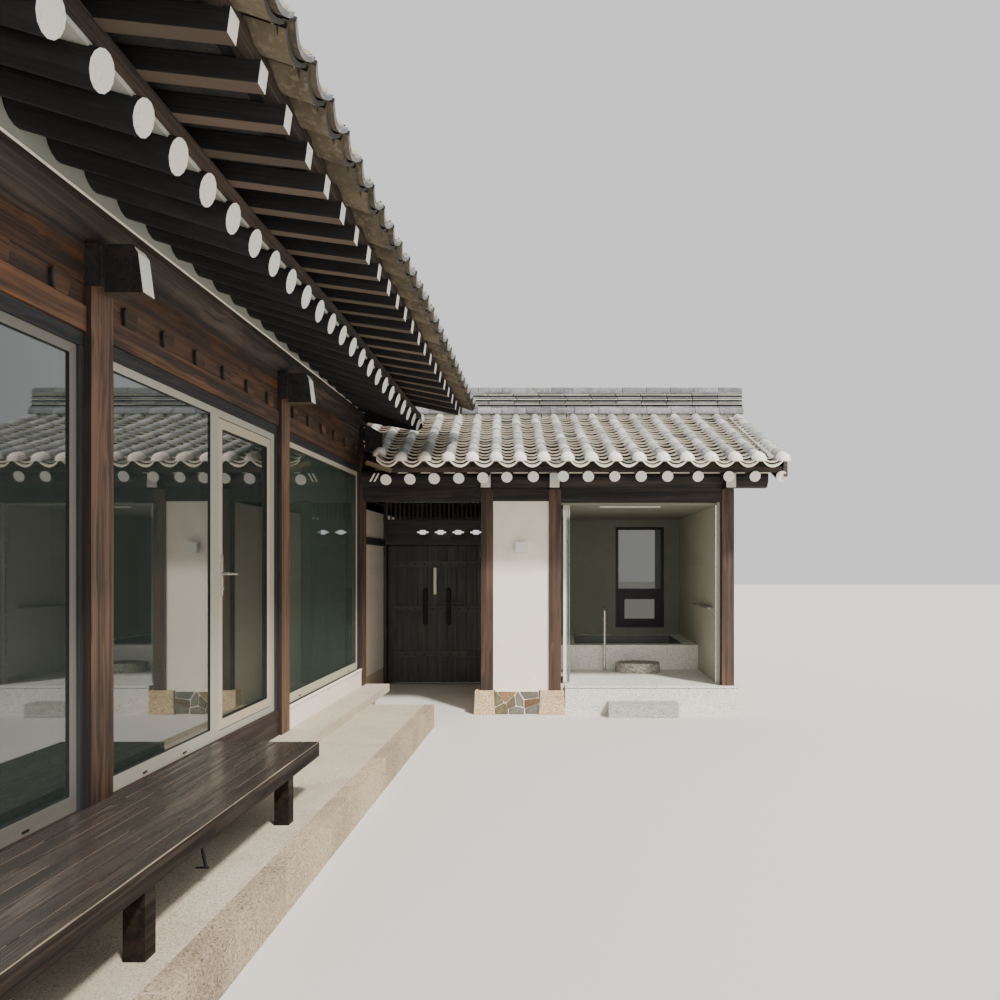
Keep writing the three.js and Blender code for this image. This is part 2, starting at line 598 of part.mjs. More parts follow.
function wingWalls(ridgeZ) {
  const top = WING_LINTEL_BOTTOM - GAP;
  const outer = WALL_OUTER_Y;
  const inner = WALL_INNER_Y;
  const start = CORNER_START_Y;
  add('corner_walls', raised([
    [-5520, start], [-5400, start], [-5400, inner], [CORNER_WALL_X - 110, inner], [CORNER_WALL_X - 110, start],
    [CORNER_WALL_X, start], [CORNER_WALL_X, outer], [-5520, outer],
  ], [PLINTH_TOP, top]), plaster);
  const wallB = [POST_B - WING_POST / 2, POST_B + WING_POST / 2 - GAP];
  const wallA = [POST_A - WING_POST / 2, POST_A + WING_POST / 2];
  const behind = 8830 + GAP;
  add('store_walls', raised([
    [wallA[0], behind], [wallA[1], behind], [wallA[1], inner], [wallB[0], inner], [wallB[0], behind],
    [wallB[1], behind], [wallB[1], outer], [wallA[0], outer],
  ], [0, top]), plaster);
  const backX = [BATH_X[0] + GAP, POST_C + WING_POST / 2];
  const hole = rectangle(BATH_WINDOW_X, BATH_WINDOW_Z);
  add('bath_back_wall', alongY(rectangle(backX, [0, top]), [inner, outer], [hole]), render);
  add('bath_right_wall', box([BATH_X[1], 1790], [behind, inner - GAP], [0, WING_LINTEL_TOP - GAP]), render);
  wingGable('gate_east_gable', [1690, 1790], behind, WING_LINTEL_TOP, ridgeZ);
  wingGable('gate_west_gable', [-5510, -5400], start + GAP, WING_LINTEL_BOTTOM, ridgeZ);
  const columns = [-5470, -3820, -2400, POST_A, POST_B, POST_C];
  const posts = columns.map((x) => box(
    around(x, WING_POST), [outer + GAP, outer + 70], [x < -2000 ? PLINTH_TOP : 0, WING_LINTEL_BOTTOM - GAP],
  ));
  const sill = box([POST_A - WING_POST / 2, POST_C + WING_POST / 2], [outer + GAP, outer + 60], [0, 130]);
  const tall = box([-5470, CORNER_WALL_X + BITE], [outer + GAP, outer + 60], [PLINTH_TOP, 330]);
  const rail = box([-5470, POST_C], [outer + GAP, outer + 50], [2100, WING_LINTEL_BOTTOM - GAP]);
  add('rear_frame', join([...posts, sill, tall, rail]), timber);
}

// Gate frame: sill, jambs, head, and transom with its pierced board and barred light
function gateFrame() {
  const x = [CORNER_WALL_X + GAP, POST_A - WING_POST / 2 - GAP];
  const y = [10940, 11030];
  const hingeSide = LEAF_W + 7 + 16;
  const opening = [GATE_SEAM_X - hingeSide, GATE_SEAM_X + hingeSide];
  const through = inset(y, -10);
  const holes = [box(opening, through, [SILL_H, GATE_HEAD_Z[0]])];
  for (let i = 0; i < CLOUDS; i += 1) {
    holes.push(box(around(FIRST_CLOUD_X + CLOUD_PITCH * i, CLOUD_SIZE[0]), through, around(CLOUD_Z, CLOUD_SIZE[1])));
  }
  const openWidth = LIGHT_BAR_PITCH - LIGHT_BAR_W;
  for (let u = opening[0] + 20; u + openWidth < opening[1]; u += LIGHT_BAR_PITCH) {
    holes.push(box([u, u + openWidth], through, LIGHT_Z));
  }
  add('gate_frame', cut(box(x, y, [0, TRANSOM_TOP]), holes), darkTimber);
}

// One gate leaf: boards, three ledges, wooden pivots and a bolt keeper
function gateLeaf(name, side) {
  const free = GATE_SEAM_X + side * 5;
  const hinge = free + side * LEAF_W;
  const x = [Math.min(free, hinge), Math.max(free, hinge)];
  const axis = [hinge - side * PIVOT_IN, (GATE_Y[0] + GATE_Y[1]) / 2];
  const parts = [box(x, GATE_Y, LEAF_Z)];
  const ledge = side < 0 ? [x[0] + LEDGE_SHORT, x[1]] : [x[0], x[1] - LEDGE_SHORT];
  for (const z of LEDGE_Z) {
    parts.push(box(ledge, [GATE_Y[0] - LEDGE_PROUD, GATE_Y[0] + BITE], [z, z + LEDGE_H]));
  }
  parts.push(bar([...axis, LEAF_Z[1] - BITE], [...axis, GATE_HEAD_Z[0] - GAP], PIVOT_R, 12));
  parts.push(bar([...axis, SILL_H + GAP], [...axis, LEAF_Z[0] + BITE], PIVOT_R, 12));
  const keeperX = free + side * KEEPER_IN;
  parts.push(box(around(keeperX, KEEPER_W), [GATE_Y[0] - KEEPER_PROUD, GATE_Y[0] + BITE], KEEPER_Z));
  if (side > 0) {
    parts.push(box([free + 4, keeperX + BOLT_PAST_KEEPER], BOLT_Y.map((y) => GATE_Y[0] + y), BOLT_Z));
  }
  add(name, join(parts), darkTimber);
}

function bathBay() {
  const x = inset(BATH_X, GAP);
  add('bath_platform', raised([
    [x[0], 8831], [x[0], PLATFORM_Y[1]], [x[1], PLATFORM_Y[1]], [x[1], 8829], [1830, 8829],
    [1830, PLATFORM_Y[0]], [33 + GAP, PLATFORM_Y[0]], [33 + GAP, 8831],
  ], [0, PLATFORM_TOP]), granite);
  add('bath_surround', cut(box(x, [PLATFORM_Y[1] + GAP, WALL_INNER_Y - GAP], [0, RIM_TOP]), [
    box(BASIN_X, BASIN_Y, [BASIN_FLOOR, RIM_TOP + 10]),
  ]), granite);
  add('step_stone', box(STEP_STONE[0], [STEP_STONE_FRONT, PLATFORM_Y[0] - GAP], [0, STEP_STONE[1]]), granite);
  const round = new THREE.CylinderGeometry(ROUND_STEP_R, ROUND_STEP_R, ROUND_STEP_H, 24);
  round.rotateX(Math.PI / 2);
  round.scale(1, ROUND_STEP_FLAT, 1);
  round.translate(...ROUND_STEP_AT, PLATFORM_TOP + ROUND_STEP_H / 2);
  add('round_step', round, granite);

  const rail = new THREE.CurvePath();
  const bend = GRAB_RAIL_BEND;
  const top = GRAB_RAIL_TOP;
  const [near, far] = GRAB_RAIL_Y;
  const at = (y, z) => new THREE.Vector3(GRAB_RAIL_X, y, z);
  rail.add(new THREE.LineCurve3(at(near, PLATFORM_TOP), at(near, top - bend)));
  rail.add(new THREE.QuadraticBezierCurve3(at(near, top - bend), at(near, top), at(near + bend, top)));
  rail.add(new THREE.LineCurve3(at(near + bend, top), at(far - bend, top)));
  rail.add(new THREE.QuadraticBezierCurve3(at(far - bend, top), at(far, top), at(far, top - bend)));
  rail.add(new THREE.LineCurve3(at(far, top - bend), at(far, RIM_TOP)));
  const turns = Array.from({ length: 8 }, (_, i) => (i * Math.PI) / 4);
  const ring = turns.map((turn) => [GRAB_RAIL_R * Math.cos(turn), GRAB_RAIL_R * Math.sin(turn)]);
  add('grab_rail', new THREE.ExtrudeGeometry(outline(ring), { steps: 40, extrudePath: rail }), steel);

  const windowX = inset(BATH_WINDOW_X, GAP);
  const windowZ = inset(BATH_WINDOW_Z, GAP);
  const frame = alongY(rectangle(windowX, windowZ), [11700, 11760], [
    rectangle(inset(windowX, LOWER_STILE), LOWER_LIGHT_Z),
    rectangle(inset(windowX, BATH_STILE), UPPER_LIGHT_Z),
  ]);
  const pane = box(inset(windowX, BATH_STILE - 5), [11722, 11742], [LOWER_LIGHT_Z[0] - 5, UPPER_LIGHT_Z[1] + 5]);
  add('bath_window', join([frame, pane]), darkTimber);

  add('bath_ceiling', box(x, [8830 + GAP, WALL_INNER_Y - GAP], [2190, 2214]), render);
  add('folding_glass', box([12, 82], [8850, 9400], [PLATFORM_TOP, 2190 - GAP]), glass);
}

stonework();
mainFloor();
mainPosts();
for (let i = 0; i < 3; i += 1) {
  courtHead(i);
  courtWindow(i);
}
terraceDoor();
const mainRidgeZ = roofFrame();
mainPurlin('court_purlin', COURT_X);
mainPurlin('west_purlin', WEST_X);
add('court_rafters', join(mainRafters((x) => x, 8)), timber);
add('court_flying_rafters', join(flyingRafters((x) => x)), timber);
add('west_rafters', join(mainRafters(mirrorX, 6)), timber);
add('west_flying_rafters', join(flyingRafters(mirrorX)), timber);
mainRoof();
mainGable('gable_south', [POST_Y[0] - POST / 2, POST_Y[0] - POST / 2 + 60], mainRidgeZ);
mainGable('gable_north', [8734, 8860], mainRidgeZ);
mainWalls();
bench();
wingFront();
const wingRidgeZ = wingFrame();
const rafterColumn = (i) => WING_FIRST_RAFTER_X + WING_RAFTER_PITCH * i;
const rearColumns = Array.from({ length: WING_FRONT_RAFTERS - WING_REAR_FIRST }, (_, i) => rafterColumn(i + WING_REAR_FIRST));
wingRafters('gate_front_rafters', (y) => y, WING_FRONT_RAFTER_X, 8, [GATE_ROOF_FRONT_WEST + 20, GATE_ROOF_EAST - 20]);
wingRafters('gate_rear_rafters', mirrorY, rearColumns, 6, [GATE_ROOF_WEST + 20, GATE_ROOF_EAST - 20]);
wingRoof();
wingWalls(wingRidgeZ);
gateFrame();
gateLeaf('gate_leaf_left', -1);
gateLeaf('gate_leaf_right', 1);
bathBay();

// The origin is the middle of the footprint, on the ground
const bounds = new THREE.Box3().setFromObject(house);
house.position.set(-(bounds.min.x + bounds.max.x) / 2, -(bounds.min.y + bounds.max.y) / 2, -bounds.min.z);

export default house;
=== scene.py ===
"""Hanok house: finishes, tiles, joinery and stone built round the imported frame.

Lengths are metres. Builders work in the court's own frame, whose origin stands on the ground under the
viewer, with X away from the tall wing and Y towards the gate wing. SHIFT moves a point to the row frame.
"""
import logging
import math
import random
from dataclasses import dataclass, field
from enum import Enum
from functools import cache
from typing import Callable, Iterable, Optional, Sequence

import bpy
from bpy.types import Material, Node, NodeSocket, NodeTree, Object
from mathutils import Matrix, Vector


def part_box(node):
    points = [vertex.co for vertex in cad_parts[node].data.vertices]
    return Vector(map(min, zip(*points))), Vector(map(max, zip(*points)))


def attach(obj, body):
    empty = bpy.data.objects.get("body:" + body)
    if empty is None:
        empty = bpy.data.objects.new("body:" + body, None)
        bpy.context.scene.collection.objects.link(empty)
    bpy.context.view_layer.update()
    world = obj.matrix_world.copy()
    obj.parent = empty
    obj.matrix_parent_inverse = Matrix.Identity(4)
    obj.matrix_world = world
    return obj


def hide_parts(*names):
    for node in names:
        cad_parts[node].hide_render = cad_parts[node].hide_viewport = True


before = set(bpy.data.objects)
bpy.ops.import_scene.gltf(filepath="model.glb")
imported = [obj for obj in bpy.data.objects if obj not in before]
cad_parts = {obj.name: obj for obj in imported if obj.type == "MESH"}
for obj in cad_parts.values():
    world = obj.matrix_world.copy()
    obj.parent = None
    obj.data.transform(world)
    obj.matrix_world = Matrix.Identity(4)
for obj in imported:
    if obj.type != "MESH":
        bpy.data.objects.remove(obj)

LOG = logging.getLogger("hanok")
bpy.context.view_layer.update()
ROOT = "house"
DOOR = "terrace_door"
GATE_LEFT = "gate_leaf_left"
GATE_RIGHT = "gate_leaf_right"
POSTS = (1.28, 3.78, 6.29, 8.784)
FIRST_POST = (-2.17, 1.28)
BOX_FACES = ((0, 1, 3, 2), (4, 6, 7, 5), (0, 4, 5, 1), (2, 3, 7, 6), (0, 2, 6, 4), (1, 5, 7, 3))

Point = Sequence[float]
Span = tuple[float, float]
Tone = Optional[float]


class Axis(Enum):
    """Direction that wood grain or a member runs in."""

    X = (1.0, 0.0, 0.0)
    Y = (0.0, 1.0, 0.0)
    Z = (0.0, 0.0, 1.0)

    @property
    def vector(self) -> Vector:
        """The axis as a vector."""
        return Vector(self.value)


def court_shift() -> Vector:
    """The move from the court's frame to the row frame, read from the first court post.

    Returns:
        The vector to add to every court point.
    """
    low, high = (Vector(corner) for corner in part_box("court_post_1"))
    middle = (low + high) / 2
    return Vector((middle.x - FIRST_POST[0], middle.y - FIRST_POST[1], 0.0))


SHIFT = court_shift()


def steps(low: float, high: float, pitch: float) -> list[float]:
    """Evenly spaced numbers from low to high, both included, about a pitch apart."""
    count = max(1, round((high - low) / pitch))
    return [low + (high - low) * i / count for i in range(count + 1)]


def square_to(run: Vector) -> tuple[Vector, Vector]:
    """The direction level across a run, and the one that points up from it."""
    side = run.cross((Axis.Z if abs(run.z) < 0.9 else Axis.X).vector).normalized()
    return side, side.cross(run)


def soften(piece: Object, width: float) -> None:
    """Round the sharp edges of a piece.

    Args:
        piece: The object.
        width: Width of the rounding; nothing is done at 0.
    """
    if width <= 0:
        return
    edge = piece.modifiers.new("soft_edges", "BEVEL")
    edge.width = width
    edge.segments = 2
    edge.limit_method = "ANGLE"
    edge.angle_limit = math.radians(35)
    edge.harden_normals = False


class Shape:
    """Faces of one piece in the court's frame, gathered before they become a mesh."""

    def __init__(self, name: str, seed: int = 1) -> None:
        """Start an empty piece.

        Args:
            name: The piece's name.
            seed: Seed of its small irregularities.
        """
        self.name = name
        self.dice = random.Random(f"{name}{seed}")
        self.points: list[Vector] = []
        self.faces: list[tuple[int, ...]] = []
        self.slots: list[int] = []
        self.grain: list[Vector] = []
        self.tones: list[float] = []
        self.finishes: list[str] = []

    def add(
        self, points: Iterable[Point], faces: Iterable[Sequence[int]], finish: str,
        along: Optional[Vector] = None, tone: Tone = None,
    ) -> None:
        """Add a lump of mesh.

        Args:
            points: Its corners.
            faces: Its faces, as indices into points.
            finish: Its finish.
            along: Direction that its grain runs in.
            tone: A number from 0 to 1 that shifts its colour; random if left out.
        """
        start = len(self.points)
        corners = [Vector(p) for p in points]
        first = (along or Axis.Y.vector).normalized()
        side, up = square_to(first)
        slide = Vector((self.dice.uniform(0, 40), self.dice.uniform(0, 9), self.dice.uniform(0, 9)))
        self.points.extend(corners)
        for p in corners:
            d = p - corners[0]
            self.grain.append(slide + Vector((d.dot(first), d.dot(side), -d.dot(up))))
        if finish not in self.finishes:
            self.finishes.append(finish)
        shade = self.dice.random() if tone is None else tone
        for face in faces:
            self.faces.append(tuple(start + i for i in face))
            self.slots.append(self.finishes.index(finish))
            self.tones.append(shade)

    def block(self, x: Span, y: Span, z: Span, finish: str, along: Axis = Axis.Y, tone: Tone = None) -> None:
        """Add a box from its spans along the axes, with the direction of its grain."""
        points = [(x[i], y[j], z[k]) for i in (0, 1) for j in (0, 1) for k in (0, 1)]
        self.add(points, BOX_FACES, finish, along.vector, tone)

    def beam(
        self, start: Point, end: Point, size: Span, finish: str, end_finish: Optional[str] = None
    ) -> None:
        """Add a squared timber between the middles of its two ends.

        Args:
            start: Middle of the first end.
            end: Middle of the second end.
            size: Width across and height.
            finish: Its finish.
            end_finish: Finish of the first end.
        """
        a, b = Vector(start), Vector(end)
        run = (b - a).normalized()
        side, up = square_to(run)
        half = (side * (size[0] / 2), up * (size[1] / 2))
        points = [p + half[0] * i + half[1] * k for p in (a, b) for i in (-1, 1) for k in (-1, 1)]
        if end_finish:
            self.add(points, BOX_FACES[:1], end_finish, run)
        self.add(points, BOX_FACES[1:] if end_finish else BOX_FACES, finish, run)

    def rod(
        self, start: Point, end: Point, radius: float, sides: int, finish: str,
        end_finish: Optional[str] = None, wobble: float = 0.0,
    ) -> None:
        """Add a round bar.

        Args:
            start: Middle of the first end.
            end: Middle of the second end.
            radius: Its radius.
            sides: Number of flats round it.
            finish: Its finish.
            end_finish: Finish of the first end.
            wobble: How far its surface strays from round, as a share of the radius.
        """
        a, b = Vector(start), Vector(end)
        run = (b - a).normalized()
        side, up = square_to(run)
        swell = [1.0 + self.dice.uniform(-wobble, wobble) for _ in range(4)]
        rings: list[list[Vector]] = [[], []]
        for ring, p in zip(rings, (a, b)):
            for i in range(sides):
                turn = 2 * math.pi * i / sides
                bulge = 1.0 + (swell[i * 4 // sides] - 1.0) * abs(math.sin(2 * turn))
                ring.append(p + (side * math.cos(turn) + up * math.sin(turn)) * radius * bulge)
        self.loft(rings, finish, run, end_finish=end_finish)

    def loft(
        self, rings: Sequence[Sequence[Point]], finish: str, along: Optional[Vector] = None,
        closed: bool = True, capped: bool = True, end_finish: Optional[str] = None, tone: Tone = None,
    ) -> None:
        """Add a skin over a row of rings.

        Args:
            rings: Rings of equal length.
            finish: Its finish.
            along: Direction of its grain.
            closed: Whether each ring meets itself.
            capped: Whether the first and last rings are filled.
            end_finish: Finish of the first cap.
            tone: Colour shift from 0 to 1.
        """
        count = len(rings[0])
        base = (len(rings) - 1) * count
        faces: list[tuple[int, ...]] = []
        for r in range(0, base, count):
            for i in range(count if closed else count - 1):
                j = (i + 1) % count
                faces.append((r + i, r + count + i, r + count + j, r + j))
        shade = self.dice.random() if tone is None else tone
        if capped:
            front = tuple(range(count))
            if end_finish:
                self.add(rings[0], [front], end_finish, along, shade)
            else:
                faces.append(front)
            faces.append(tuple(base + i for i in reversed(front)))
        self.add([p for ring in rings for p in ring], faces, finish, along, shade)

    def sheet(self, rings: Sequence[Sequence[Point]], finish: str, along: Vector, tone: Tone = None) -> None:
        """Add a skin over rows of points that is open at its edges."""
        self.loft(rings, finish, along, closed=False, capped=False, tone=tone)

    def surround(self, x: Span, outer: Sequence[Span], inner: Sequence[Span], finish: str) -> None:
        """Four mitred members between two rectangles.

        Args:
            x: Depth of the members.
            outer: Outer y and z spans.
            inner: Inner y and z spans.
            finish: Their finish.
        """
        (y0, y1), (z0, z1) = outer
        (a0, a1), (b0, b1) = inner
        corners = ((y0, z0, a0, b0), (y1, z0, a1, b0), (y1, z1, a1, b1), (y0, z1, a0, b1))
        for (u, v, p, q), (s, t, m, n) in zip(corners, corners[1:] + corners[:1]):
            quad = [(u, v), (s, t), (m, n), (p, q)]
            self.loft([[(depth, *at) for at in quad] for depth in x], finish, Vector((0.0, s - u, t - v)))

    def prism(self, outline: Sequence[Span], span: Span, axis: Axis, finish: str, tone: Tone = None) -> None:
        """Add an outline run along an axis. The outline is (y, z) for X, (x, z) for Y and (x, y) for Z."""
        turned = {Axis.X: (2, 0, 1), Axis.Y: (0, 2, 1), Axis.Z: (0, 1, 2)}[axis]
        rings = [[tuple((u, v, w)[i] for i in turned) for u, v in outline] for w in span]
        self.loft(rings, finish, axis.vector, tone=tone)

    def build(
        self, body: str = ROOT, replaces: Sequence[str] = (), slot: Optional[str] = None,
        bevel: float = 0.0, smooth: float = 0.0,
    ) -> None:
        """Turn the gathered faces into an object that rides on a body.

        Args:
            body: Name of the body.
            replaces: CAD nodes it stands for.
            slot: Not used.
            bevel: Width of the rounding along sharp edges.
            smooth: Angle in degrees under which faces shade as one surface.
        """
        mesh = bpy.data.meshes.new(self.name)
        mesh.from_pydata([p + SHIFT for p in self.points], [], self.faces)
        for finish in self.finishes:
            mesh.materials.append(Palette.get(finish))
        mesh.polygons.foreach_set("material_index", self.slots)
        grain = mesh.attributes.new("grain", "FLOAT_VECTOR", "POINT")
        grain.data.foreach_set("vector", [c for g in self.grain for c in g])
        mesh.attributes.new("tone", "FLOAT", "FACE").data.foreach_set("value", self.tones)
        mesh.validate()
        mesh.update()
        if smooth > 0:
            mesh.polygons.foreach_set("use_smooth", [True] * len(mesh.polygons))
            mesh.set_sharp_from_angle(angle=math.radians(smooth))
        piece = bpy.data.objects.new(self.name, mesh)
        bpy.context.scene.collection.objects.link(piece)
        soften(piece, bevel)
        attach(piece, body)
        if replaces:
            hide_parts(*replaces)
        LOG.info("%s: %d faces", self.name, len(mesh.polygons))


# Shader networks


def paint(code: str) -> tuple[float, ...]:
    """A linear colour with its 1 of opacity, from its six-digit screen code."""
    parts = [int(code[i : i + 2], 16) / 255 for i in (0, 2, 4)]
    return (*(c / 12.92 if c <= 0.04045 else ((c + 0.055) / 1.055) ** 2.4 for c in parts), 1.0)


class Network:
    """Short words for laying out a node tree."""

    def __init__(self, tree: NodeTree) -> None:
        """Take the tree to fill."""
        self.tree = tree

    def node(self, kind: str, feeds: Optional[dict] = None, **settings: object) -> Node:
        """Add a node.

        Args:
            kind: Its type without the ShaderNode prefix.
            feeds: What goes into its inputs, by their names or numbers.
            settings: Properties to set.

        Returns:
            The node.
        """
        made = self.tree.nodes.new("ShaderNode" + kind)
        for key, value in settings.items():
            setattr(made, key, value)
        for key, value in (feeds or {}).items():
            self.feed(made.inputs[key], value)
        return made

    def feed(self, socket: NodeSocket, value: object) -> None:
        """Link or set one input.

        Args:
            socket: The input.
            value: Another socket, or a constant.
        """
        if isinstance(value, NodeSocket):
            self.tree.links.new(value, socket)
        else:
            socket.default_value = value

    def math(self, operation: str, a: object, b: object, clamp: bool = False) -> NodeSocket:
        """What a Math node makes of two inputs, kept from 0 to 1 if it is clamped."""
        return self.node("Math", {0: a, 1: b}, operation=operation, use_clamp=clamp).outputs[0]

    def times(self, a: object, b: object) -> NodeSocket:
        """The product of two numbers."""
        return self.math("MULTIPLY", a, b)

    def stretch(self, place: NodeSocket, scale: Point) -> NodeSocket:
        """A place scaled along each of its axes."""
        return self.node("VectorMath", {0: place, 1: scale}, operation="MULTIPLY").outputs[0]

    def scaled(self, value: NodeSocket, factor: NodeSocket) -> NodeSocket:
        """A place or a colour times one number."""
        return self.node("VectorMath", {0: value, "Scale": factor}, operation="SCALE").outputs[0]

    def noise(self, place: NodeSocket, scale: float, detail: float = 3.0, bend: float = 0.0) -> NodeSocket:
        """Fractal noise read at a place, with its scale, its number of octaves and its distortion."""
        feeds = {"Vector": place, "Scale": scale, "Detail": detail, "Distortion": bend}
        return self.node("TexNoise", feeds).outputs["Fac"]

    def level(self, value: NodeSocket, low: float, high: float, to: Span = (0.0, 1.0)) -> NodeSocket:
        """A value spread smoothly and clamped, so that low gives the first result and high the second."""
        feeds = {"Value": value, "From Min": low, "From Max": high, "To Min": to[0], "To Max": to[1]}
        return self.node("MapRange", feeds, interpolation_type="SMOOTHSTEP").outputs["Result"]

    def blend(self, amount: NodeSocket, a: object, b: object) -> NodeSocket:
        """Two colours mixed, with the share of the second."""
        return self.node("Mix", {0: amount, 6: a, 7: b}, data_type="RGBA").outputs[2]

    def parts(self, value: NodeSocket) -> Sequence[NodeSocket]:
        """The three parts of a vector."""
        return self.node("SeparateXYZ", {0: value}).outputs

    def effect(self, group: NodeTree, **inputs: object) -> Sequence[NodeSocket]:
        """Place a shared group.

        Args:
            group: The group.
            inputs: Its inputs by name, with underscores for spaces.

        Returns:
            Its outputs.
        """
        made = self.node("Group")
        made.node_tree = group
        for key, value in inputs.items():
            self.feed(made.inputs[key.replace("_", " ")], value)
        return made.outputs

    def close(self, **outputs: NodeSocket) -> NodeTree:
        """Put out the results of a group.

        Args:
            outputs: The results by name.

        Returns:
            The group.
        """
        leave = self.tree.nodes.new("NodeGroupOutput")
        for key, value in outputs.items():
            self.feed(leave.inputs[key], value)
        return self.tree


class Effect:
    """Shader node groups that several finishes share, each built once."""

    @staticmethod
    def start(
        name: str, number: str, value: float, outputs: Sequence[str]
    ) -> tuple[Network, Sequence[NodeSocket]]:
        """Open a group with a Place input and a number.

        Args:
            name: The group's name.
            number: Name of the number input.
            value: Its default.
            outputs: Names of the number outputs.

        Returns:
            The network and its inputs.
        """
        tree = bpy.data.node_groups.new(name, "ShaderNodeTree")
        tree.interface.new_socket("Place", in_out="INPUT", socket_type="NodeSocketVector")
        tree.interface.new_socket(number, in_out="INPUT", socket_type="NodeSocketFloat").default_value = value
        for key in outputs:
            tree.interface.new_socket(key, in_out="OUTPUT", socket_type="NodeSocketFloat")
        return Network(tree), tree.nodes.new("NodeGroupInput").outputs

    @classmethod
    @cache
    def wood(cls) -> NodeTree:
        """Grain of wood, with x of Place along the fibres."""
        net, entry = cls.start("wood_figure", "Knot Size", 0.1, ("Fibre", "Patch", "Knot", "Height"))
        place = entry["Place"]
        seats = {"Vector": net.stretch(place, (1.1, 3.4, 3.4)), "Scale": 1.0}
        near = net.node("TexVoronoi", seats, feature="F1").outputs["Distance"]
        knot = net.math("DIVIDE", net.math("SUBTRACT", entry["Knot Size"], near), 0.06, True)
        swirl = net.noise(net.stretch(place, (1.1, 5.0, 5.0)), 1.6, 2.0)
        lift = net.node("CombineXYZ", {1: net.times(swirl, 3.0), 2: net.times(swirl, 2.2)}).outputs[0]
        waved = net.node("VectorMath", {0: net.stretch(place, (0.55, 24.0, 24.0)), 1: lift}, operation="ADD")
        broad = net.noise(waved.outputs[0], 1.0, 4.0, 0.4)
        fine = net.noise(net.stretch(place, (2.2, 150.0, 150.0)), 1.0, 2.0)
        fibre = net.level(net.math("ADD", net.times(broad, 0.72), net.times(fine, 0.28)), 0.36, 0.64)
        patch = net.level(net.noise(net.stretch(place, (0.9, 3.2, 3.2)), 1.3, 5.0), 0.47, 0.66)
        check = net.level(net.noise(net.stretch(place, (0.8, 46.0, 46.0)), 1.0, 1.0), 0.27, 0.34)
        height = net.math("ADD", net.times(fibre, 0.5), net.times(check, 0.5))
        height = net.math("SUBTRACT", height, net.times(knot, 0.25))
        return net.close(Fibre=fibre, Patch=patch, Knot=knot, Height=height)

    @classmethod
    @cache
    def speckle(cls) -> NodeTree:
        """Crystals of a stone."""
        net, entry = cls.start("stone_speckle", "Crystal", 400.0, ("Light", "Dark", "Cloud", "Height"))
        place = entry["Place"]
        cell = net.node("TexVoronoi", {"Vector": place, "Scale": entry["Crystal"]}, feature="F1")
        shade = net.node("SeparateColor", {0: cell.outputs["Color"]}).outputs
        return net.close(
            Light=net.level(shade[0], 0.6, 0.8), Dark=net.level(shade[1], 0.84, 0.9),
            Cloud=net.level(net.noise(place, 1.7, 5.0), 0.35, 0.65), Height=net.noise(place, 160.0, 4.0),
        )

    @classmethod
    @cache
    def weather(cls) -> NodeTree:
        """Stains, run-off and lichen of things outdoors."""
        net, entry = cls.start("weathering", "Spread", 2.0, ("Stain", "Streak", "Lichen"))
        place = net.scaled(entry["Place"], entry["Spread"])
        streak = net.noise(net.stretch(place, (5.0, 5.0, 0.35)), 1.0, 4.0)
        return net.close(
            Stain=net.level(net.noise(place, 1.0, 6.0, 0.3), 0.4, 0.68), Streak=net.level(streak, 0.45, 0.75),
            Lichen=net.level(net.noise(place, 7.0, 5.0, 0.6), 0.52, 0.64),
        )


# Finishes


@dataclass(frozen=True)
class Finish:
    """What every finish has: a name, a roughness and the axis its pattern runs along on the solids."""

    name: str
    rough: float = 0.8
    axis: Optional[Axis] = None


class Surface(Network):
    """The network of one material, with the inputs of its Principled node and its pattern's place."""

    def __init__(self, finish: Finish) -> None:
        """Open the material of a finish.

        Args:
            finish: The finish.
        """
        self.material = bpy.data.materials.new(finish.name)
        self.material.use_nodes = True
        super().__init__(self.material.node_tree)
        self.skin = self.tree.nodes["Principled BSDF"].inputs
        self.skin["Roughness"].default_value = finish.rough
        if finish.axis is None:
            self.place = self.node("Attribute", attribute_name="grain").outputs["Vector"]
            return
        parts = self.parts(self.node("TexCoord").outputs["Object"])
        order = {Axis.X: (0, 1, 2), Axis.Y: (1, 0, 2), Axis.Z: (2, 0, 1)}[finish.axis]
        self.place = self.node("CombineXYZ", {i: parts[k] for i, k in enumerate(order)}).outputs[0]

    def colour(self, body: NodeSocket, vary: float, foot: float = 0.0) -> None:
        """Colour the surface by each face's own tone.

        Args:
            body: The colour.
            vary: How far the tone can shift it.
            foot: How much painted shade darkens it near the ground.
        """
        tone = self.node("Attribute", attribute_name="tone").outputs["Fac"]
        shade = self.level(tone, 0.0, 1.0, (1.0 - vary, 1.0 + vary))
        # Painted shade: the colour darkens from 1.6 m down to 0.75 m.
        if foot:
            height = self.parts(self.node("NewGeometry").outputs["Position"])[2]
            shade = self.times(shade, self.level(height, 0.75, 1.6, (1.0 - foot, 1.0)))
        self.feed(self.skin["Base Color"], self.scaled(body, shade))

    def relief(self, height: NodeSocket, depth: float) -> None:
        """Raise the surface by a height from 0 to 1, times a depth in metres."""
        bump = self.node("Bump", {"Strength": 1.0, "Distance": depth, "Height": height})
        self.feed(self.skin["Normal"], bump.outputs[0])


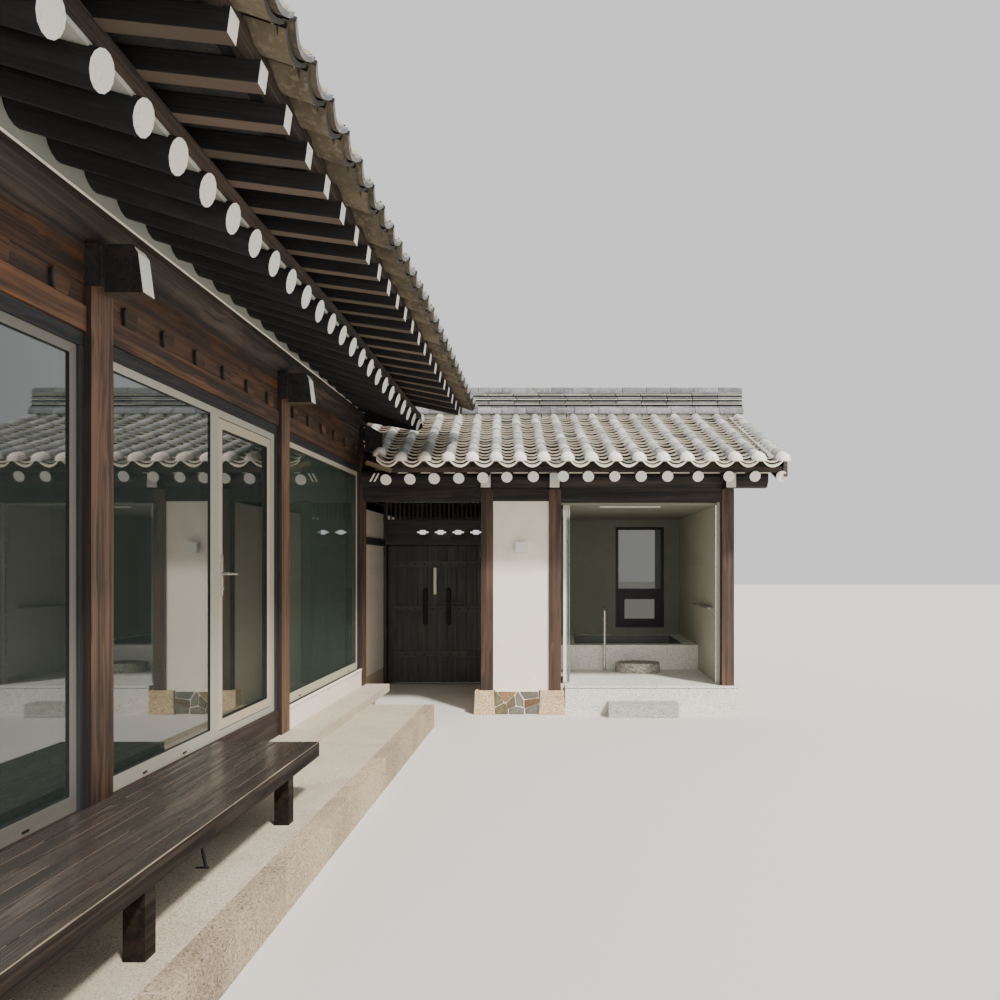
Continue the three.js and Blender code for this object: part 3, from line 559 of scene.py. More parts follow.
@dataclass(frozen=True)
class Wood(Finish):
    """Oiled or painted timber with its figure."""

    base: str = "3b281f"
    dark: str = "1f1613"
    light: str = "6d4a33"
    patch: float = 0.6
    knot: float = 0.1
    vary: float = 0.25
    depth: float = 0.0012
    lower: Optional[str] = None
    # near: colour taken by faces turned to −Y, painted shade on the posts' south faces
    near: Optional[str] = None
    # foot: painted shade that darkens the wood near the ground
    foot: float = 0.0
    gloss: float = 0.5

    def make(self) -> Material:
        """Build the material."""
        net = Surface(self)
        figure = net.effect(Effect.wood(), Place=net.place, Knot_Size=self.knot)
        body = net.blend(figure["Fibre"], paint(self.dark), paint(self.base))
        lit = net.times(net.times(figure["Patch"], figure["Fibre"]), self.patch)
        body = net.blend(lit, body, paint(self.light))
        body = net.blend(figure["Knot"], body, paint(self.dark))
        # Faces turned down take the lower colour; faces turned to −Y take the near colour as painted shade.
        for part, code in ((2, self.lower), (1, self.near)):
            if code:
                side = net.parts(net.node("NewGeometry").outputs["Normal"])[part]
                turned = net.level(net.times(side, -1.0), 0.45, 0.8)
                body = net.blend(net.times(turned, 0.8), body, paint(code))
        net.colour(body, self.vary, self.foot)
        net.skin["Specular IOR Level"].default_value = self.gloss
        spread = (self.rough + 0.1, self.rough - 0.06)
        net.feed(net.skin["Roughness"], net.level(figure["Fibre"], 0.0, 1.0, spread))
        net.relief(figure["Height"], self.depth)
        return net.material


@dataclass(frozen=True)
class Stone(Finish):
    """Sawn or bush-hammered stone, with crystals."""

    base: str = "bfb09a"
    light: str = "d9cfbf"
    dark: str = "6f6558"
    crystal: float = 350.0
    fleck: float = 0.5
    depth: float = 0.002
    vary: float = 0.12
    stain: float = 0.35

    def make(self) -> Material:
        """Build the material."""
        net = Surface(self)
        grains = net.effect(Effect.speckle(), Place=net.place, Crystal=self.crystal)
        wear = net.effect(Effect.weather(), Place=net.place, Spread=1.8)
        body = net.blend(net.times(grains["Light"], self.fleck), paint(self.base), paint(self.light))
        body = net.blend(net.times(grains["Dark"], self.fleck), body, paint(self.dark))
        body = net.blend(net.times(wear["Stain"], self.stain), body, paint(self.dark))
        net.colour(net.blend(net.times(grains["Cloud"], 0.25), body, paint(self.light)), self.vary)
        net.relief(grains["Height"], self.depth)
        return net.material


@dataclass(frozen=True)
class Plaster(Finish):
    """Trowelled plaster or mortar."""

    base: str = "dcd7ce"
    stain: str = "b9b2a6"
    amount: float = 0.35
    depth: float = 0.0015
    grit: float = 28.0

    def make(self) -> Material:
        """Build the material."""
        net = Surface(self)
        wear = net.effect(Effect.weather(), Place=net.place, Spread=1.1)
        mask = net.times(net.math("MAXIMUM", wear["Stain"], wear["Streak"]), self.amount)
        net.feed(net.skin["Base Color"], net.blend(mask, paint(self.base), paint(self.stain)))
        net.relief(net.noise(net.place, self.grit, 5.0, 0.2), self.depth)
        return net.material


@dataclass(frozen=True)
class EndPaint(Finish):
    """Off-white paint on the end grain of a rafter, with fine cracks worn in patches."""

    base: str = "e9e6e0"
    worn: str = "a59a8c"

    def make(self) -> Material:
        """Build the material."""
        net = Surface(self)
        feeds = {"Vector": net.stretch(net.place, (1.0, 9.0, 9.0)), "Scale": 2.4}
        crack = net.node("TexVoronoi", feeds, feature="DISTANCE_TO_EDGE")
        line = net.level(crack.outputs["Distance"], 0.0, 0.03, (0.7, 0.0))
        age = net.times(line, net.level(net.noise(net.place, 14.0, 3.0), 0.45, 0.6))
        net.feed(net.skin["Base Color"], net.blend(age, paint(self.base), paint(self.worn)))
        net.relief(net.noise(net.place, 60.0, 3.0), 0.0006)
        return net.material


@dataclass(frozen=True)
class Tile(Finish):
    """Fired clay tile, weathered pale, with lichen."""

    base: str = "8f887d"
    dark: str = "55514b"
    lichen: str = "c3b9a8"
    vary: float = 0.28

    def make(self) -> Material:
        """Build the material."""
        net = Surface(self)
        wear = net.effect(Effect.weather(), Place=net.place, Spread=6.0)
        body = net.blend(net.times(wear["Stain"], 0.6), paint(self.base), paint(self.dark))
        net.colour(net.blend(net.times(wear["Lichen"], 0.45), body, paint(self.lichen)), self.vary)
        net.relief(net.noise(net.place, 90.0, 4.0), 0.0015)
        return net.material


@dataclass(frozen=True)
class Metal(Finish):
    """Coated or brushed metal."""

    base: str = "8f867b"
    metallic: float = 0.6
    grainy: float = 0.04

    def make(self) -> Material:
        """Build the material."""
        net = Surface(self)
        net.skin["Base Color"].default_value = paint(self.base)
        net.skin["Metallic"].default_value = self.metallic
        spread = (self.rough - self.grainy, self.rough + self.grainy)
        net.feed(net.skin["Roughness"], net.level(net.noise(net.place, 30.0, 4.0), 0.3, 0.7, spread))
        return net.material


@dataclass(frozen=True)
class Pane(Finish):
    """Sheet glass or still water that lets light through and carries a tint."""

    base: str = "86a296"
    cover: float = 0.35
    gloss: float = 1.5

    def make(self) -> Material:
        """Build the material."""
        net = Surface(self)
        fixed = {"Base Color": paint(self.base), "IOR": 1.5, "Coat IOR": self.gloss, "Coat Weight": 1.0}
        for key, value in {**fixed, "Coat Roughness": 0.01}.items():
            net.skin[key].default_value = value
        spread = (self.cover - 0.04, self.cover + 0.04)
        net.feed(net.skin["Alpha"], net.level(net.noise(net.place, 0.6, 2.0), 0.3, 0.7, spread))
        return net.material


class Palette:
    """Every finish of the house, made on first use."""

    finishes: dict[str, Finish] = {
        finish.name: finish
        for finish in (
            # The posts' near colour is painted shade on their south faces.
            Wood(
                "post_wood", 0.5, Axis.Z, "745540", "3c2b20", "98724f", 0.5, 0.08, 0.2, 0.0012, near="15110f"
            ),
            # A copy of the post wood with painted shade over its lower part.
            Wood(
                "post_wood_damp", 0.6, Axis.Z, "745540", "3c2b20", "98724f", 0.5, 0.08, 0.2, 0.0012,
                near="15110f", foot=0.55,
            ),
            Wood("gate_post_wood", 0.6, Axis.Z, "583d2e", "34241b", "7d5743", 0.5, 0.08),
            Wood("lintel_wood", 0.55, None, "5f4029", "2b1d14", "8a5c34", 0.6, 0.12, 0.42),
            Wood("header_wood", 0.65, None, "222427", "141618", "33322f", 0.5, 0.06),
            Wood("beam_wood", 0.7, None, "231f1d", "131213", "4a3a2e", 0.4, 0.08, 0.2, 0.0015, "4c3d31"),
            Wood("rafter_wood", 0.7, None, "1d1f20", "101213", "2f2c2a", 0.4, 0.08, 0.25, 0.0015),
            Wood("flyer_wood", 0.7, None, "1f1f1f", "121213", "342d28", 0.4, 0.08, 0.25, 0.0015, "65574b"),
            Wood("fascia_wood", 0.7, None, "3a302a", "1b1817", "5d4a3c", 0.6, 0.08),
            Wood("board_wood", 0.75, None, "1a1918", "0f0f10", "2d2723", 0.4, 0.08),
            # The deck boards' grey is partly the wood's own colour and partly a painted sheen.
            Wood("bench_wood", 0.22, None, "433c37", "332e2a", "645a51", 0.5, 0.03, 0.16, 0.0003),
            Wood("gate_wood", 0.5, None, "3d3c3b", "302f2f", "524f4d", 0.3, 0.04, 0.2, 0.0006),
            Wood("worn_board", 0.7, None, "8a7654", "64543b", "a89671", 0.4, 0.05),
            Wood("floor_oak", 0.4, None, "a58a67", "86694b", "bfa480", 0.4, 0.05, 0.12, 0.0004),
            Wood("panel_wood_y", 0.6, Axis.Y, "3a261d", "1e1512", "5d3f2c", 0.4, 0.08),
            Wood("purlin_wood_y", 0.75, Axis.Y, "443a33", "25201e", "675546", 0.6, 0.12),
            Wood("fascia_wood_x", 0.7, Axis.X, "2b2320", "161313", "4b372b", 0.5, 0.08),
            # Dark brown of the bench's apron and frame, darkened further as painted shade.
            Wood(
                "bench_wood_y", 0.6, Axis.Y, "271f19", "17120f", "3f3329", 0.4, 0.05, 0.2, 0.0006, gloss=0.12
            ),
            # Pale strips painted as glints on the bench's edges.
            Wood("worn_arris", 0.35, Axis.Y, "8d7d6b", "665849", "b3a28d", 0.5, 0.02, 0.2, 0.0002),
            Stone(
                "sawn_granite_o", 0.7, Axis.X, "e3e0d7", "f4f1ea", "77736a", 200.0, 0.9, 0.0006, 0.05, 0.12
            ),
            Stone("step_granite", 0.75, Axis.X, "a9a79f", "cbc8bf", "524e48", 140.0, 1.0, 0.0008, 0.05, 0.12),
            # Granite in its own colour, darkened in part as painted shade.
            Stone("kerb_granite", 0.85, None, "a39279", "c6b699", "615340", 165.0, 1.0, 0.002, 0.1),
            Stone("plinth_gravel", 0.9, Axis.Y, "c9bba4", "e3d8c4", "877860", 200.0, 0.8, 0.002),
            Stone("sawn_granite", 0.7, None, "d9d5cc", "efece5", "6b675f", 190.0, 0.75, 0.0006, 0.05, 0.12),
            Stone("rubble_stone", 0.9, None, "85694a", "a88b63", "4c3f2f", 110.0, 0.7, 0.006, 0.3),
            Stone("rubble_grey", 0.9, None, "6f6a60", "928b7e", "3f3c37", 110.0, 0.7, 0.006, 0.3),
            Stone("rubble_olive", 0.9, None, "645c44", "857b5e", "393528", 110.0, 0.7, 0.006, 0.3),
            Stone("basin_stone", 0.5, None, "6b7069", "7f857c", "4c504a", 300.0, 0.4, 0.001),
            Stone("round_stone", 0.9, None, "8f8b80", "c2bcb0", "3f3b34", 75.0, 1.0, 0.01, 0.1),
            Stone("base_granite", 0.85, None, "caad83", "e6d3b0", "715c40", 120.0, 0.95, 0.003, 0.1),
            Plaster("white_plaster", 0.9, Axis.Z, "f0e8da", "d8cdbb", 0.4),
            # Grey copy of the white plaster, painted as the shade in the eave pockets.
            Plaster("pocket_plaster", 0.9, None, "b4b6ad", "8f9187", 0.45),
            Plaster("bath_plaster", 0.9, Axis.Z, "82857a", "6d7066", 0.4),
            Plaster("tile_mortar", 0.95, None, "fbf5e9", "d2c8b8", 0.5, 0.003, 60.0),
            Plaster("tile_lip", 0.95, None, "fcf1dc", "c9b79c", 0.6, 0.002, 60.0),
            Plaster("bath_side_plaster", 0.9, Axis.Z, "bbb8a9", "a29f90", 0.4),
            Plaster("bath_ceiling_board", 0.85, Axis.X, "88877d", "75746b", 0.2),
            EndPaint("rafter_end_paint", 0.75),
            Tile("roof_tile", 0.8, None, "adaeab", "757674", "e0d9ca", 0.22),
            Tile("ridge_tile", 0.8, None, "74777a", "4b4f51", "aaa79e", 0.3),
            Tile("roof_tile_dark", 0.85, None, "3b3a39", "242424", "4b4946", 0.15),
            Tile("pan_clay", 0.85, None, "6e6c67", "484644", "8d8980", 0.25),
            Tile("tile_underside", 0.9, None, "6a6150", "41392e", "8f836c", 0.35),
            # Near-black sheets painted as the shade under tile lips and in the ridge joints.
            Tile("tile_gap", 0.95, None, "1d1b19", "121111", "2b2825", 0.1),
            Metal("window_aluminium", 0.45, None, "adaa9d", 0.3),
            # Copies of the window aluminium: bay 1's is darkened as painted shade, and the door's and bay 3's
            # are lightened as painted light.
            Metal("bay_1_aluminium", 0.45, None, "74716a", 0.3),
            Metal("door_aluminium", 0.45, None, "beb4a0", 0.3),
            Metal("bay_3_aluminium", 0.45, None, "c9c2b0", 0.3),
            Metal("gasket_rubber", 0.6, None, "151515", 0.0),
            Metal("handle_steel", 0.25, None, "c4c2be", 1.0),
            Metal("black_metal", 0.45, None, "1c1c1c", 0.4),
            Metal("pull_metal", 0.5, None, "f4ecdb", 0.0),
            Metal("lamp_white", 0.5, None, "e4e1da", 0.0),
            Pane("pane_glass", 0.02, None, "323b37", 0.72, 2.3),
            # A lighter copy of the pane glass, painted as the reflection on bay 3.
            Pane("bay_3_glass", 0.02, None, "4a584f", 0.76, 2.3),
            Pane("rear_glass", 0.02, None, "3a4b43", 0.88),
            Pane("bath_glass", 0.02, None, "86a296", 0.4),
            Pane("still_water", 0.03, None, "3b4a47", 0.75),
        )
    }

    @classmethod
    @cache
    def get(cls, name: str) -> Material:
        """A finish as a material, made on first use."""
        return cls.finishes[name].make()


def dress(node: str, finish: str, bevel: float = 0.0) -> None:
    """Give a CAD node its finish and rounded edges.

    Args:
        node: The node.
        finish: The finish for all its slots.
        bevel: Width of the rounding.
    """
    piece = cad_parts[node]
    for entry in piece.material_slots:
        entry.material = Palette.get(finish)
    soften(piece, bevel)
    LOG.info("%s: %s", node, finish)


# Lines of the eaves


@dataclass(frozen=True)
class Slope:
    """A roof plane seen in section: out is the distance from the eave edge towards the ridge."""

    edge: Span
    ridge: Span
    pitch: float = 0.33

    @property
    def run(self) -> float:
        """Level distance from eave to ridge base."""
        return abs(self.ridge[0] - self.edge[0])

    def at(self, out: float) -> Span:
        """Place across the roof and height of the tile surface, at a level distance from the eave edge."""
        bend = (self.ridge[1] - self.edge[1] - self.pitch * self.run) / self.run**2
        inward = math.copysign(1.0, self.ridge[0] - self.edge[0])
        return (self.edge[0] + inward * out, self.edge[1] + self.pitch * out + bend * out * out)

    def mirrored(self, middle: float) -> "Slope":
        """The same plane on the other side of a ridge that stands at middle."""
        edge, ridge = ((2 * middle - p[0], p[1]) for p in (self.edge, self.ridge))
        return Slope(edge, ridge, self.pitch)


@dataclass(frozen=True)
class Wing:
    """Directions and sizes of one wing: across is the axis its roof slopes along."""

    across: Axis
    ridge_at: float
    slope: Slope

    @property
    def along(self) -> Vector:
        """Direction that its eaves run in."""
        return (Axis.Y if self.across is Axis.X else Axis.X).vector

    def point(self, across: float, along: float, height: float) -> tuple[float, float, float]:
        """A court point from places across and along the wing."""
        return (across, along, height) if self.across is Axis.X else (along, across, height)

    def run(self, shape: Shape, section: Iterable[Span], span: Span, finish: str, tone: Tone = None) -> None:
        """Run an (across, height) outline along the wing, in lengths that can follow a bent eave."""
        corners = list(section)
        rings = [[self.point(u, place, v) for u, v in corners] for place in steps(*span, 0.7)]
        shape.loft(rings, finish, self.along, tone=tone)


MAIN = Wing(Axis.X, -3.82, Slope((-0.93, 3.385), (-3.69, 4.5)))
GATE = Wing(Axis.Y, 10.25, Slope((8.0, 2.625), (10.13, 3.4)))


def arch(wide: float, high: float, base: float, sides: int = 6) -> list[Span]:
    """Half a round over a base line, from right to left."""
    turns = [math.pi * i / sides for i in range(sides + 1)]
    return [(math.cos(t) * wide, base + math.sin(t) * high) for t in turns]


@dataclass(frozen=True)
class TileSizes:
    """Sizes of the clay tiles."""

    pitch: float = 0.233
    cap_radius: float = 0.056
    cap_length: float = 0.30
    pan_step: float = 0.125
    pan_drop: float = 0.042
    pan_width: float = 0.215
    pan_sag: float = 0.03
    pan_thick: float = 0.017
    below: float = 0.075
    plug: tuple[Span, ...] = ((-0.075, 0.4), (-0.067, 0.72), (-0.045, 0.95), (0.0, 1.03), (0.05, 1.0))


@dataclass
class TileField:
    """Rows of concave tiles with round tiles over their joints, on one roof plane."""

    name: str
    wing: Wing
    slope: Slope
    span: Span
    mortar_caps: bool
    sizes: TileSizes = field(default_factory=TileSizes)
    start: Callable[[float], float] = lambda along: 0.0
    lean: float = 0.0

    def place(self, out: float, along: float, lift: float) -> tuple[float, float, float]:
        """A point a little above or below the tile surface.

        Args:
            out: Distance from the eave.
            along: Place along the eave.
            lift: Distance along the surface's normal.

        Returns:
            The point.
        """
        base, a, b = self.slope.at(out), self.slope.at(out - 0.01), self.slope.at(out + 0.01)
        up = Vector((b[0] - a[0], b[1] - a[1])).normalized()
        normal = Vector((-up.y, up.x)) * (1.0 if up.x > 0 else -1.0)
        inside = min(along - self.span[0], self.span[1] - along) / 1.5
        along += self.lean * out * min(1.0, max(0.0, inside))
        return self.wing.point(base[0] + normal.x * lift, along, base[1] + normal.y * lift)

    def row(self, out: float, along: float, points: Iterable[Span]) -> list[tuple[float, float, float]]:
        """Points of one ring from their offsets along the eave and their lifts."""
        return [self.place(out, along + u, v) for u, v in points]

    def rows(self) -> list[float]:
        """Places of the round tile rows along the eave."""
        return steps(self.span[0] + 0.07, self.span[1] - 0.07, self.sizes.pitch)

    def cap_row(self, shape: Shape, along: float) -> None:
        """One row of round tiles with dark joints, and a mortar plug at the eave.

        Args:
            shape: The piece that is added to.
            along: Its place along the eave.
        """
        size, across = self.sizes, self.wing.across.vector
        first = self.start(along) + 0.015
        count = math.ceil((self.slope.run - first) / (size.cap_length * 0.93))
        base = -size.cap_radius * 1.05
        for i in range(count):
            low = first + (self.slope.run - first) * i / count
            high = first + (self.slope.run - first) * (i + 1) / count + 0.012
            radius = size.cap_radius * shape.dice.uniform(0.97, 1.03)
            shift = shape.dice.uniform(-0.004, 0.004)
            rings = []
            for out, grow in ((low, 1.0), (low + 0.02, 1.02), (high, 0.93)):
                wide = radius * grow
                ring = [(-wide, base - 0.012), *arch(wide, wide * 1.05, base)[::-1], (wide, base - 0.012)]
                rings.append(self.row(out, along + shift, ring))
            end = "tile_mortar" if i == 0 and self.mortar_caps else "roof_tile"
            shape.loft(rings, "roof_tile", across, closed=False, end_finish=end)
            if i:
                joint = arch(radius * 0.995, radius * 1.04, base)
                rings = [self.row(out, along + shift, joint) for out in (low - 0.007, low + 0.004)]
                shape.loft(rings, "roof_tile_dark", across, capped=False)
        if self.mortar_caps:
            rings = []
            for out, grow in size.plug:
                wide = size.cap_radius * 1.15 * grow
                ring = [(-wide, base - 0.004), *arch(wide, wide, base, 8)[::-1], (wide, base - 0.004)]
                rings.append(self.row(first + out, along, ring))
            shape.loft(rings, "tile_mortar", across)

    def pans(self, shape: Shape, along: float) -> None:
        """One column of concave tiles between two round tile rows.

        Args:
            shape: The piece that is added to.
            along: Middle of the column along the eave.
        """
        size, grain = self.sizes, self.wing.across.vector
        first = self.start(along)
        count = math.ceil((self.slope.run - first) / size.pan_step)
        half = size.pan_width / 2
        across = [half * (2 * i / 5 - 1) for i in range(6)]
        for i in range(count):
            deep = max(0.0, 0.041 - 0.0075 * i) if self.mortar_caps and first == 0.0 else 0.0
            sag = [(u, (size.pan_sag + deep * 0.8) * (u / half) ** 2) for u in across]
            low = first + (self.slope.run - first) * i / count - (0.03 if i == 0 else 0.0)
            high = min(self.slope.run, low + size.pan_step * 1.35)
            middle = along + shape.dice.uniform(-0.004, 0.004)
            lift = -size.below + size.pan_drop - deep + shape.dice.uniform(-0.003, 0.003)
            top = self.row(low, middle, [(u, lift + s) for u, s in sag])
            back = self.row(high, middle, [(u, -size.below + s - 0.004 - deep * 0.6) for u, s in sag])
            below = self.row(low + 0.004, middle, [(u, lift + s - size.pan_thick) for u, s in sag])
            under = self.row(low + 0.03, middle, [(u, -size.below + s - 0.03 - deep) for u, s in sag])
            tone = shape.dice.random()
            shape.sheet([top, back], "pan_clay", grain, tone)
            shape.sheet([below, top], "tile_lip" if shape.dice.random() < 0.93 else "roof_tile", grain, tone)
            # The dark band below each lip is painted shade.
            shape.sheet([under, below], "tile_gap", grain, 0.2)

    def garland(self, shape: Shape, along: float) -> None:
        """The concave tiles and mortar that hang at the eave between two rows, doubled without mortar caps.

        Args:
            shape: The piece that is added to.
            along: Middle of the column along the eave.
        """
        grain, first = self.wing.across.vector, self.start(along)
        half = self.sizes.pitch / 2 - 0.012
        mortar = self.mortar_caps
        bow, sink, under = (0.065, 0.03, "roof_tile_dark") if mortar else (0.045, -0.012, "tile_underside")
        levels = ((0.0, -0.052, "roof_tile" if mortar else "ridge_tile"), (0.03, -0.03, "roof_tile_dark"))
        for level, (drop, out, name) in enumerate(levels[:1] if mortar else levels):
            across = [half * (2 * i / 8 - 1) for i in range(9)]
            lift = -self.sizes.below - sink - drop
            front = [(u, lift + bow * (u / half) ** 2) for u in across]
            foot = [(u, v - 0.02) for u, v in front]
            rings = [self.row(first + out, along, points) for points in (foot, front)]
            rings.append(self.row(first + out + 0.2, along, [(u, v + 0.004) for u, v in front]))
            shape.sheet(rings[:2], "tile_lip" if mortar else name, grain, 0.5)
            shape.sheet(rings[1:], name, grain, 0.5 + 0.2 * level)
            bottom = [rings[0], self.row(first + out + 0.2, along, foot)]
            shape.sheet(bottom, under, grain, shape.dice.uniform(0.2, 0.7))

    def build(self) -> None:
        """Build the round rows and the concave tiles of the plane."""
        caps = Shape(f"{self.name}_round_tiles")
        pans = Shape(f"{self.name}_concave_tiles")
        rows = self.rows()
        for along in rows:
            self.cap_row(caps, along)
        for a, b in zip(rows, rows[1:]):
            self.pans(pans, (a + b) / 2)
            self.garland(pans, (a + b) / 2)
        caps.build(slot="roof_tile", smooth=40)
        pans.build(slot="roof_tile", smooth=40)


# Eaves


@dataclass(frozen=True)
class RafterLine:
    """Round rafters of one wing, in section."""

    end: Span
    slope: float
    radius: float
    inner: float
    fascia: Span
    fascia_top: float

    def axis_at(self, across: float) -> float:
        """Height of the rafter's middle at a place on the seen side."""
        return self.end[1] + self.slope * abs(across - self.end[0])

    @property
    def rise(self) -> float:
        """Height from the middle of a rafter to its top, measured upright."""
        return self.radius * math.hypot(1.0, self.slope)

    def over(self, across: float, lift: float) -> Span:
        """A point of the section, at a height above the rafter's middle."""
        return (across, self.axis_at(across) + lift)


MAIN_RAFTERS = RafterLine((-1.455, 3.08), 0.31, 0.0675, -3.788, (-1.467, -1.522), 3.233)
GATE_RAFTERS = RafterLine((8.15, 2.42), 0.37, 0.055, 10.22, (8.16, 8.21), 2.515)


@dataclass
class Eaves:
    """Round rafters, fascia, boards, plaster pockets and the scalloped board under the tiles of one side."""

    name: str
    wing: Wing
    line: RafterLine
    places: list[float]
    span: Span
    replaces: str
    purlin: tuple[float, float, float]
    far: bool = False
    support: Span = (0.0, 0.0)
    support_at: Span = (0.0, 0.0)
    sink: float = 0.0

    def across(self, value: float) -> float:
        """A place across the wing, mirrored on the far side."""
        return 2 * self.wing.ridge_at - value if self.far else value

    def strip(self, shape: Shape, section: Sequence[Span], span: Span, finish: str) -> None:
        """Run an (across, height) outline along the wing, mirrored on the far side."""
        self.wing.run(shape, [(self.across(u), v) for u, v in section], span, finish)

    def rafters(self) -> None:
        """The round rafters with their painted ends, and the fascia laid on them."""
        shape = Shape(f"{self.name}_rafters")
        line = self.line
        ends = (self.across(line.end[0]), self.across(line.inner))
        for along in self.places:
            radius = line.radius * shape.dice.uniform(0.96, 1.02)
            sink = self.sink * max(0.0, 1.0 - (along - min(self.places)) / 1.6)
            tip = self.wing.point(ends[0], along, line.end[1] - sink)
            aside = along + shape.dice.uniform(-0.004, 0.004)
            tail = self.wing.point(ends[1], aside, line.axis_at(line.inner) - sink)
            shape.rod(tip, tail, radius, 14, "rafter_wood", "rafter_end_paint", 0.03)
        (front, back), top = line.fascia, line.fascia_top
        foot = line.rise - 0.006
        section = [line.over(front, foot), (front, top), (back, top + 0.007), line.over(back, foot)]
        self.strip(shape, section, self.span, "fascia_wood")
        shape.build(replaces=[self.replaces], slot="timber", smooth=30)

    def boards(self) -> None:
        """Boards laid on the rafters, seen from below between them."""
        shape = Shape(f"{self.name}_eave_boards")
        line = self.line
        stop, low, high = line.fascia[1], line.rise + 0.001, line.rise + 0.017
        inward = math.copysign(1.0, line.inner - stop)
        near = stop + inward * 0.012
        while abs(near - stop) < 1.15:
            far = near + inward * 0.118
            section = [line.over(near, low), line.over(far, low), line.over(far, high), line.over(near, high)]
            self.strip(shape, section, self.span, "board_wood")
            near += inward * 0.121
        shape.build(slot="timber")

    def pockets(self) -> None:
        """Plaster between the rafters on top of the purlin, greyed as painted shade, with its thin lower
        band.
        """
        shape = Shape(f"{self.name}_plaster_pockets")
        line = self.line
        middle, height, radius = self.purlin
        out = math.copysign(1.0, line.end[0] - middle)
        face, back, foot = (middle + out * radius * share for share in (0.76, 0.2, 0.94))
        top = line.rise - 0.001
        span = (self.span[0] + 0.12, self.span[1] - 0.02)
        lip = [(foot - out * 0.01, height + radius * 0.34), (foot, height + radius * 0.34)]
        lip += [(foot + out * 0.005, height + radius * 0.41), (foot - out * 0.01, height + radius * 0.44)]
        self.strip(shape, lip, span, "white_plaster")
        section = [
            (foot, height + radius * 0.38),
            (face + out * 0.004, line.axis_at(face) - line.rise * 0.6),
            (face - out * 0.012, line.axis_at(face) + top),
            line.over(back, top),
            (back, height + radius * 0.9),
        ]
        self.strip(shape, section, span, "pocket_plaster")
        near, rear = line.fascia
        infill = [
            (near - out * 0.004, line.axis_at(near) + line.rise * 0.62),
            (near - out * 0.004, line.axis_at(near) + top),
            (rear - out * 0.03, line.axis_at(rear) + top),
            (rear - out * 0.05, line.axis_at(rear) + line.rise * 0.8),
        ]
        # The main wing's infill between the rafter ends is plaster greyed as painted shade.
        finish = "pocket_plaster" if self.wing.across is Axis.X else "fascia_wood"
        self.strip(shape, infill, (min(self.places), max(self.places)), finish)
        shape.build(slot="plaster")

    def scallops(self, rows: Sequence[float]) -> None:
        """The scalloped board that carries the lowest concave tiles.

        Args:
            rows: Places of the round tile rows along the eave.
        """
        shape = Shape(f"{self.name}_tile_support")
        low, high = self.support
        sides = [self.across(value) for value in self.support_at]
        inside = [r for r in rows if self.span[0] - 0.05 <= r <= self.span[1] + 0.05]
        faces = [(0, 1, 2, 3), (7, 6, 5, 4), (0, 4, 5, 1), (3, 2, 6, 7)]
        for a, b in zip(inside, inside[1:]):
            places = [a + (b - a) * i / 8 for i in range(9)]
            tops = [high - (high - low) * 0.72 * (1 - ((2 * i / 8) - 1) ** 2) for i in range(9)]
            for u0, u1, z0, z1 in zip(places, places[1:], tops, tops[1:]):
                face = ((u0, low), (u1, low), (u1, z1), (u0, z0))
                points = [self.wing.point(side, u, z) for side in sides for u, z in face]
                shape.add(points, faces, "fascia_wood", self.wing.along, 0.4)
        shape.build(slot="timber")

    def build(self, rows: Sequence[float]) -> None:
        """Build everything of this side.

        Args:
            rows: Places of the round tile rows along the eave.
        """
        self.rafters()
        self.boards()
        self.pockets()
        self.scallops(rows)


@dataclass
class FlyingRafters:
    """The squared upper rafters of the main wing, with painted ends and their fascia."""

    name: str
    replaces: str
    places: list[float]
    far: bool = False
    end: Span = (-1.04, 3.18)
    slope: float = 0.136
    width: float = 0.07
    height: float = 0.082
    tail: float = -1.94
    fascia: Span = (-1.056, -1.12)
    fascia_top: float = 3.334
    span: Span = (0.66, 8.83)

    def at(self, x: float, lift: float) -> Span:
        """A point above the rafters' underside at a place on the court side, mirrored on the far side."""
        return (2 * MAIN.ridge_at - x if self.far else x, self.end[1] + self.slope * (self.end[0] - x) + lift)

    def build(self) -> None:
        """Build the rafters, the fascia on them and the boards between them."""
        shape = Shape(f"{self.name}_flying_rafters")
        tip, tail = self.at(self.end[0], self.height / 2), self.at(self.tail, self.height / 2)
        for y in self.places:
            size = (self.width * shape.dice.uniform(0.95, 1.04), self.height)
            shape.beam((tip[0], y, tip[1]), (tail[0], y, tail[1]), size, "flyer_wood", "rafter_end_paint")
        foot, head = ([self.at(x, self.height - 0.006) for x in self.fascia], self.fascia_top)
        section = [foot[0], (foot[0][0], head), (foot[1][0], head), foot[1]]
        MAIN.run(shape, section, self.span, "fascia_wood")
        shape.build(replaces=[self.replaces], slot="timber", bevel=0.003)
        boards = Shape(f"{self.name}_flying_boards")
        x = self.fascia[1] - 0.004
        low, high = self.height + 0.001, self.height + 0.017
        while x > self.tail + 0.1:
            section = [self.at(x, low), self.at(x - 0.128, low), self.at(x - 0.128, high), self.at(x, high)]
            MAIN.run(boards, section, self.span, "board_wood")
            x -= 0.131
        boards.build(slot="timber")


# Roofs


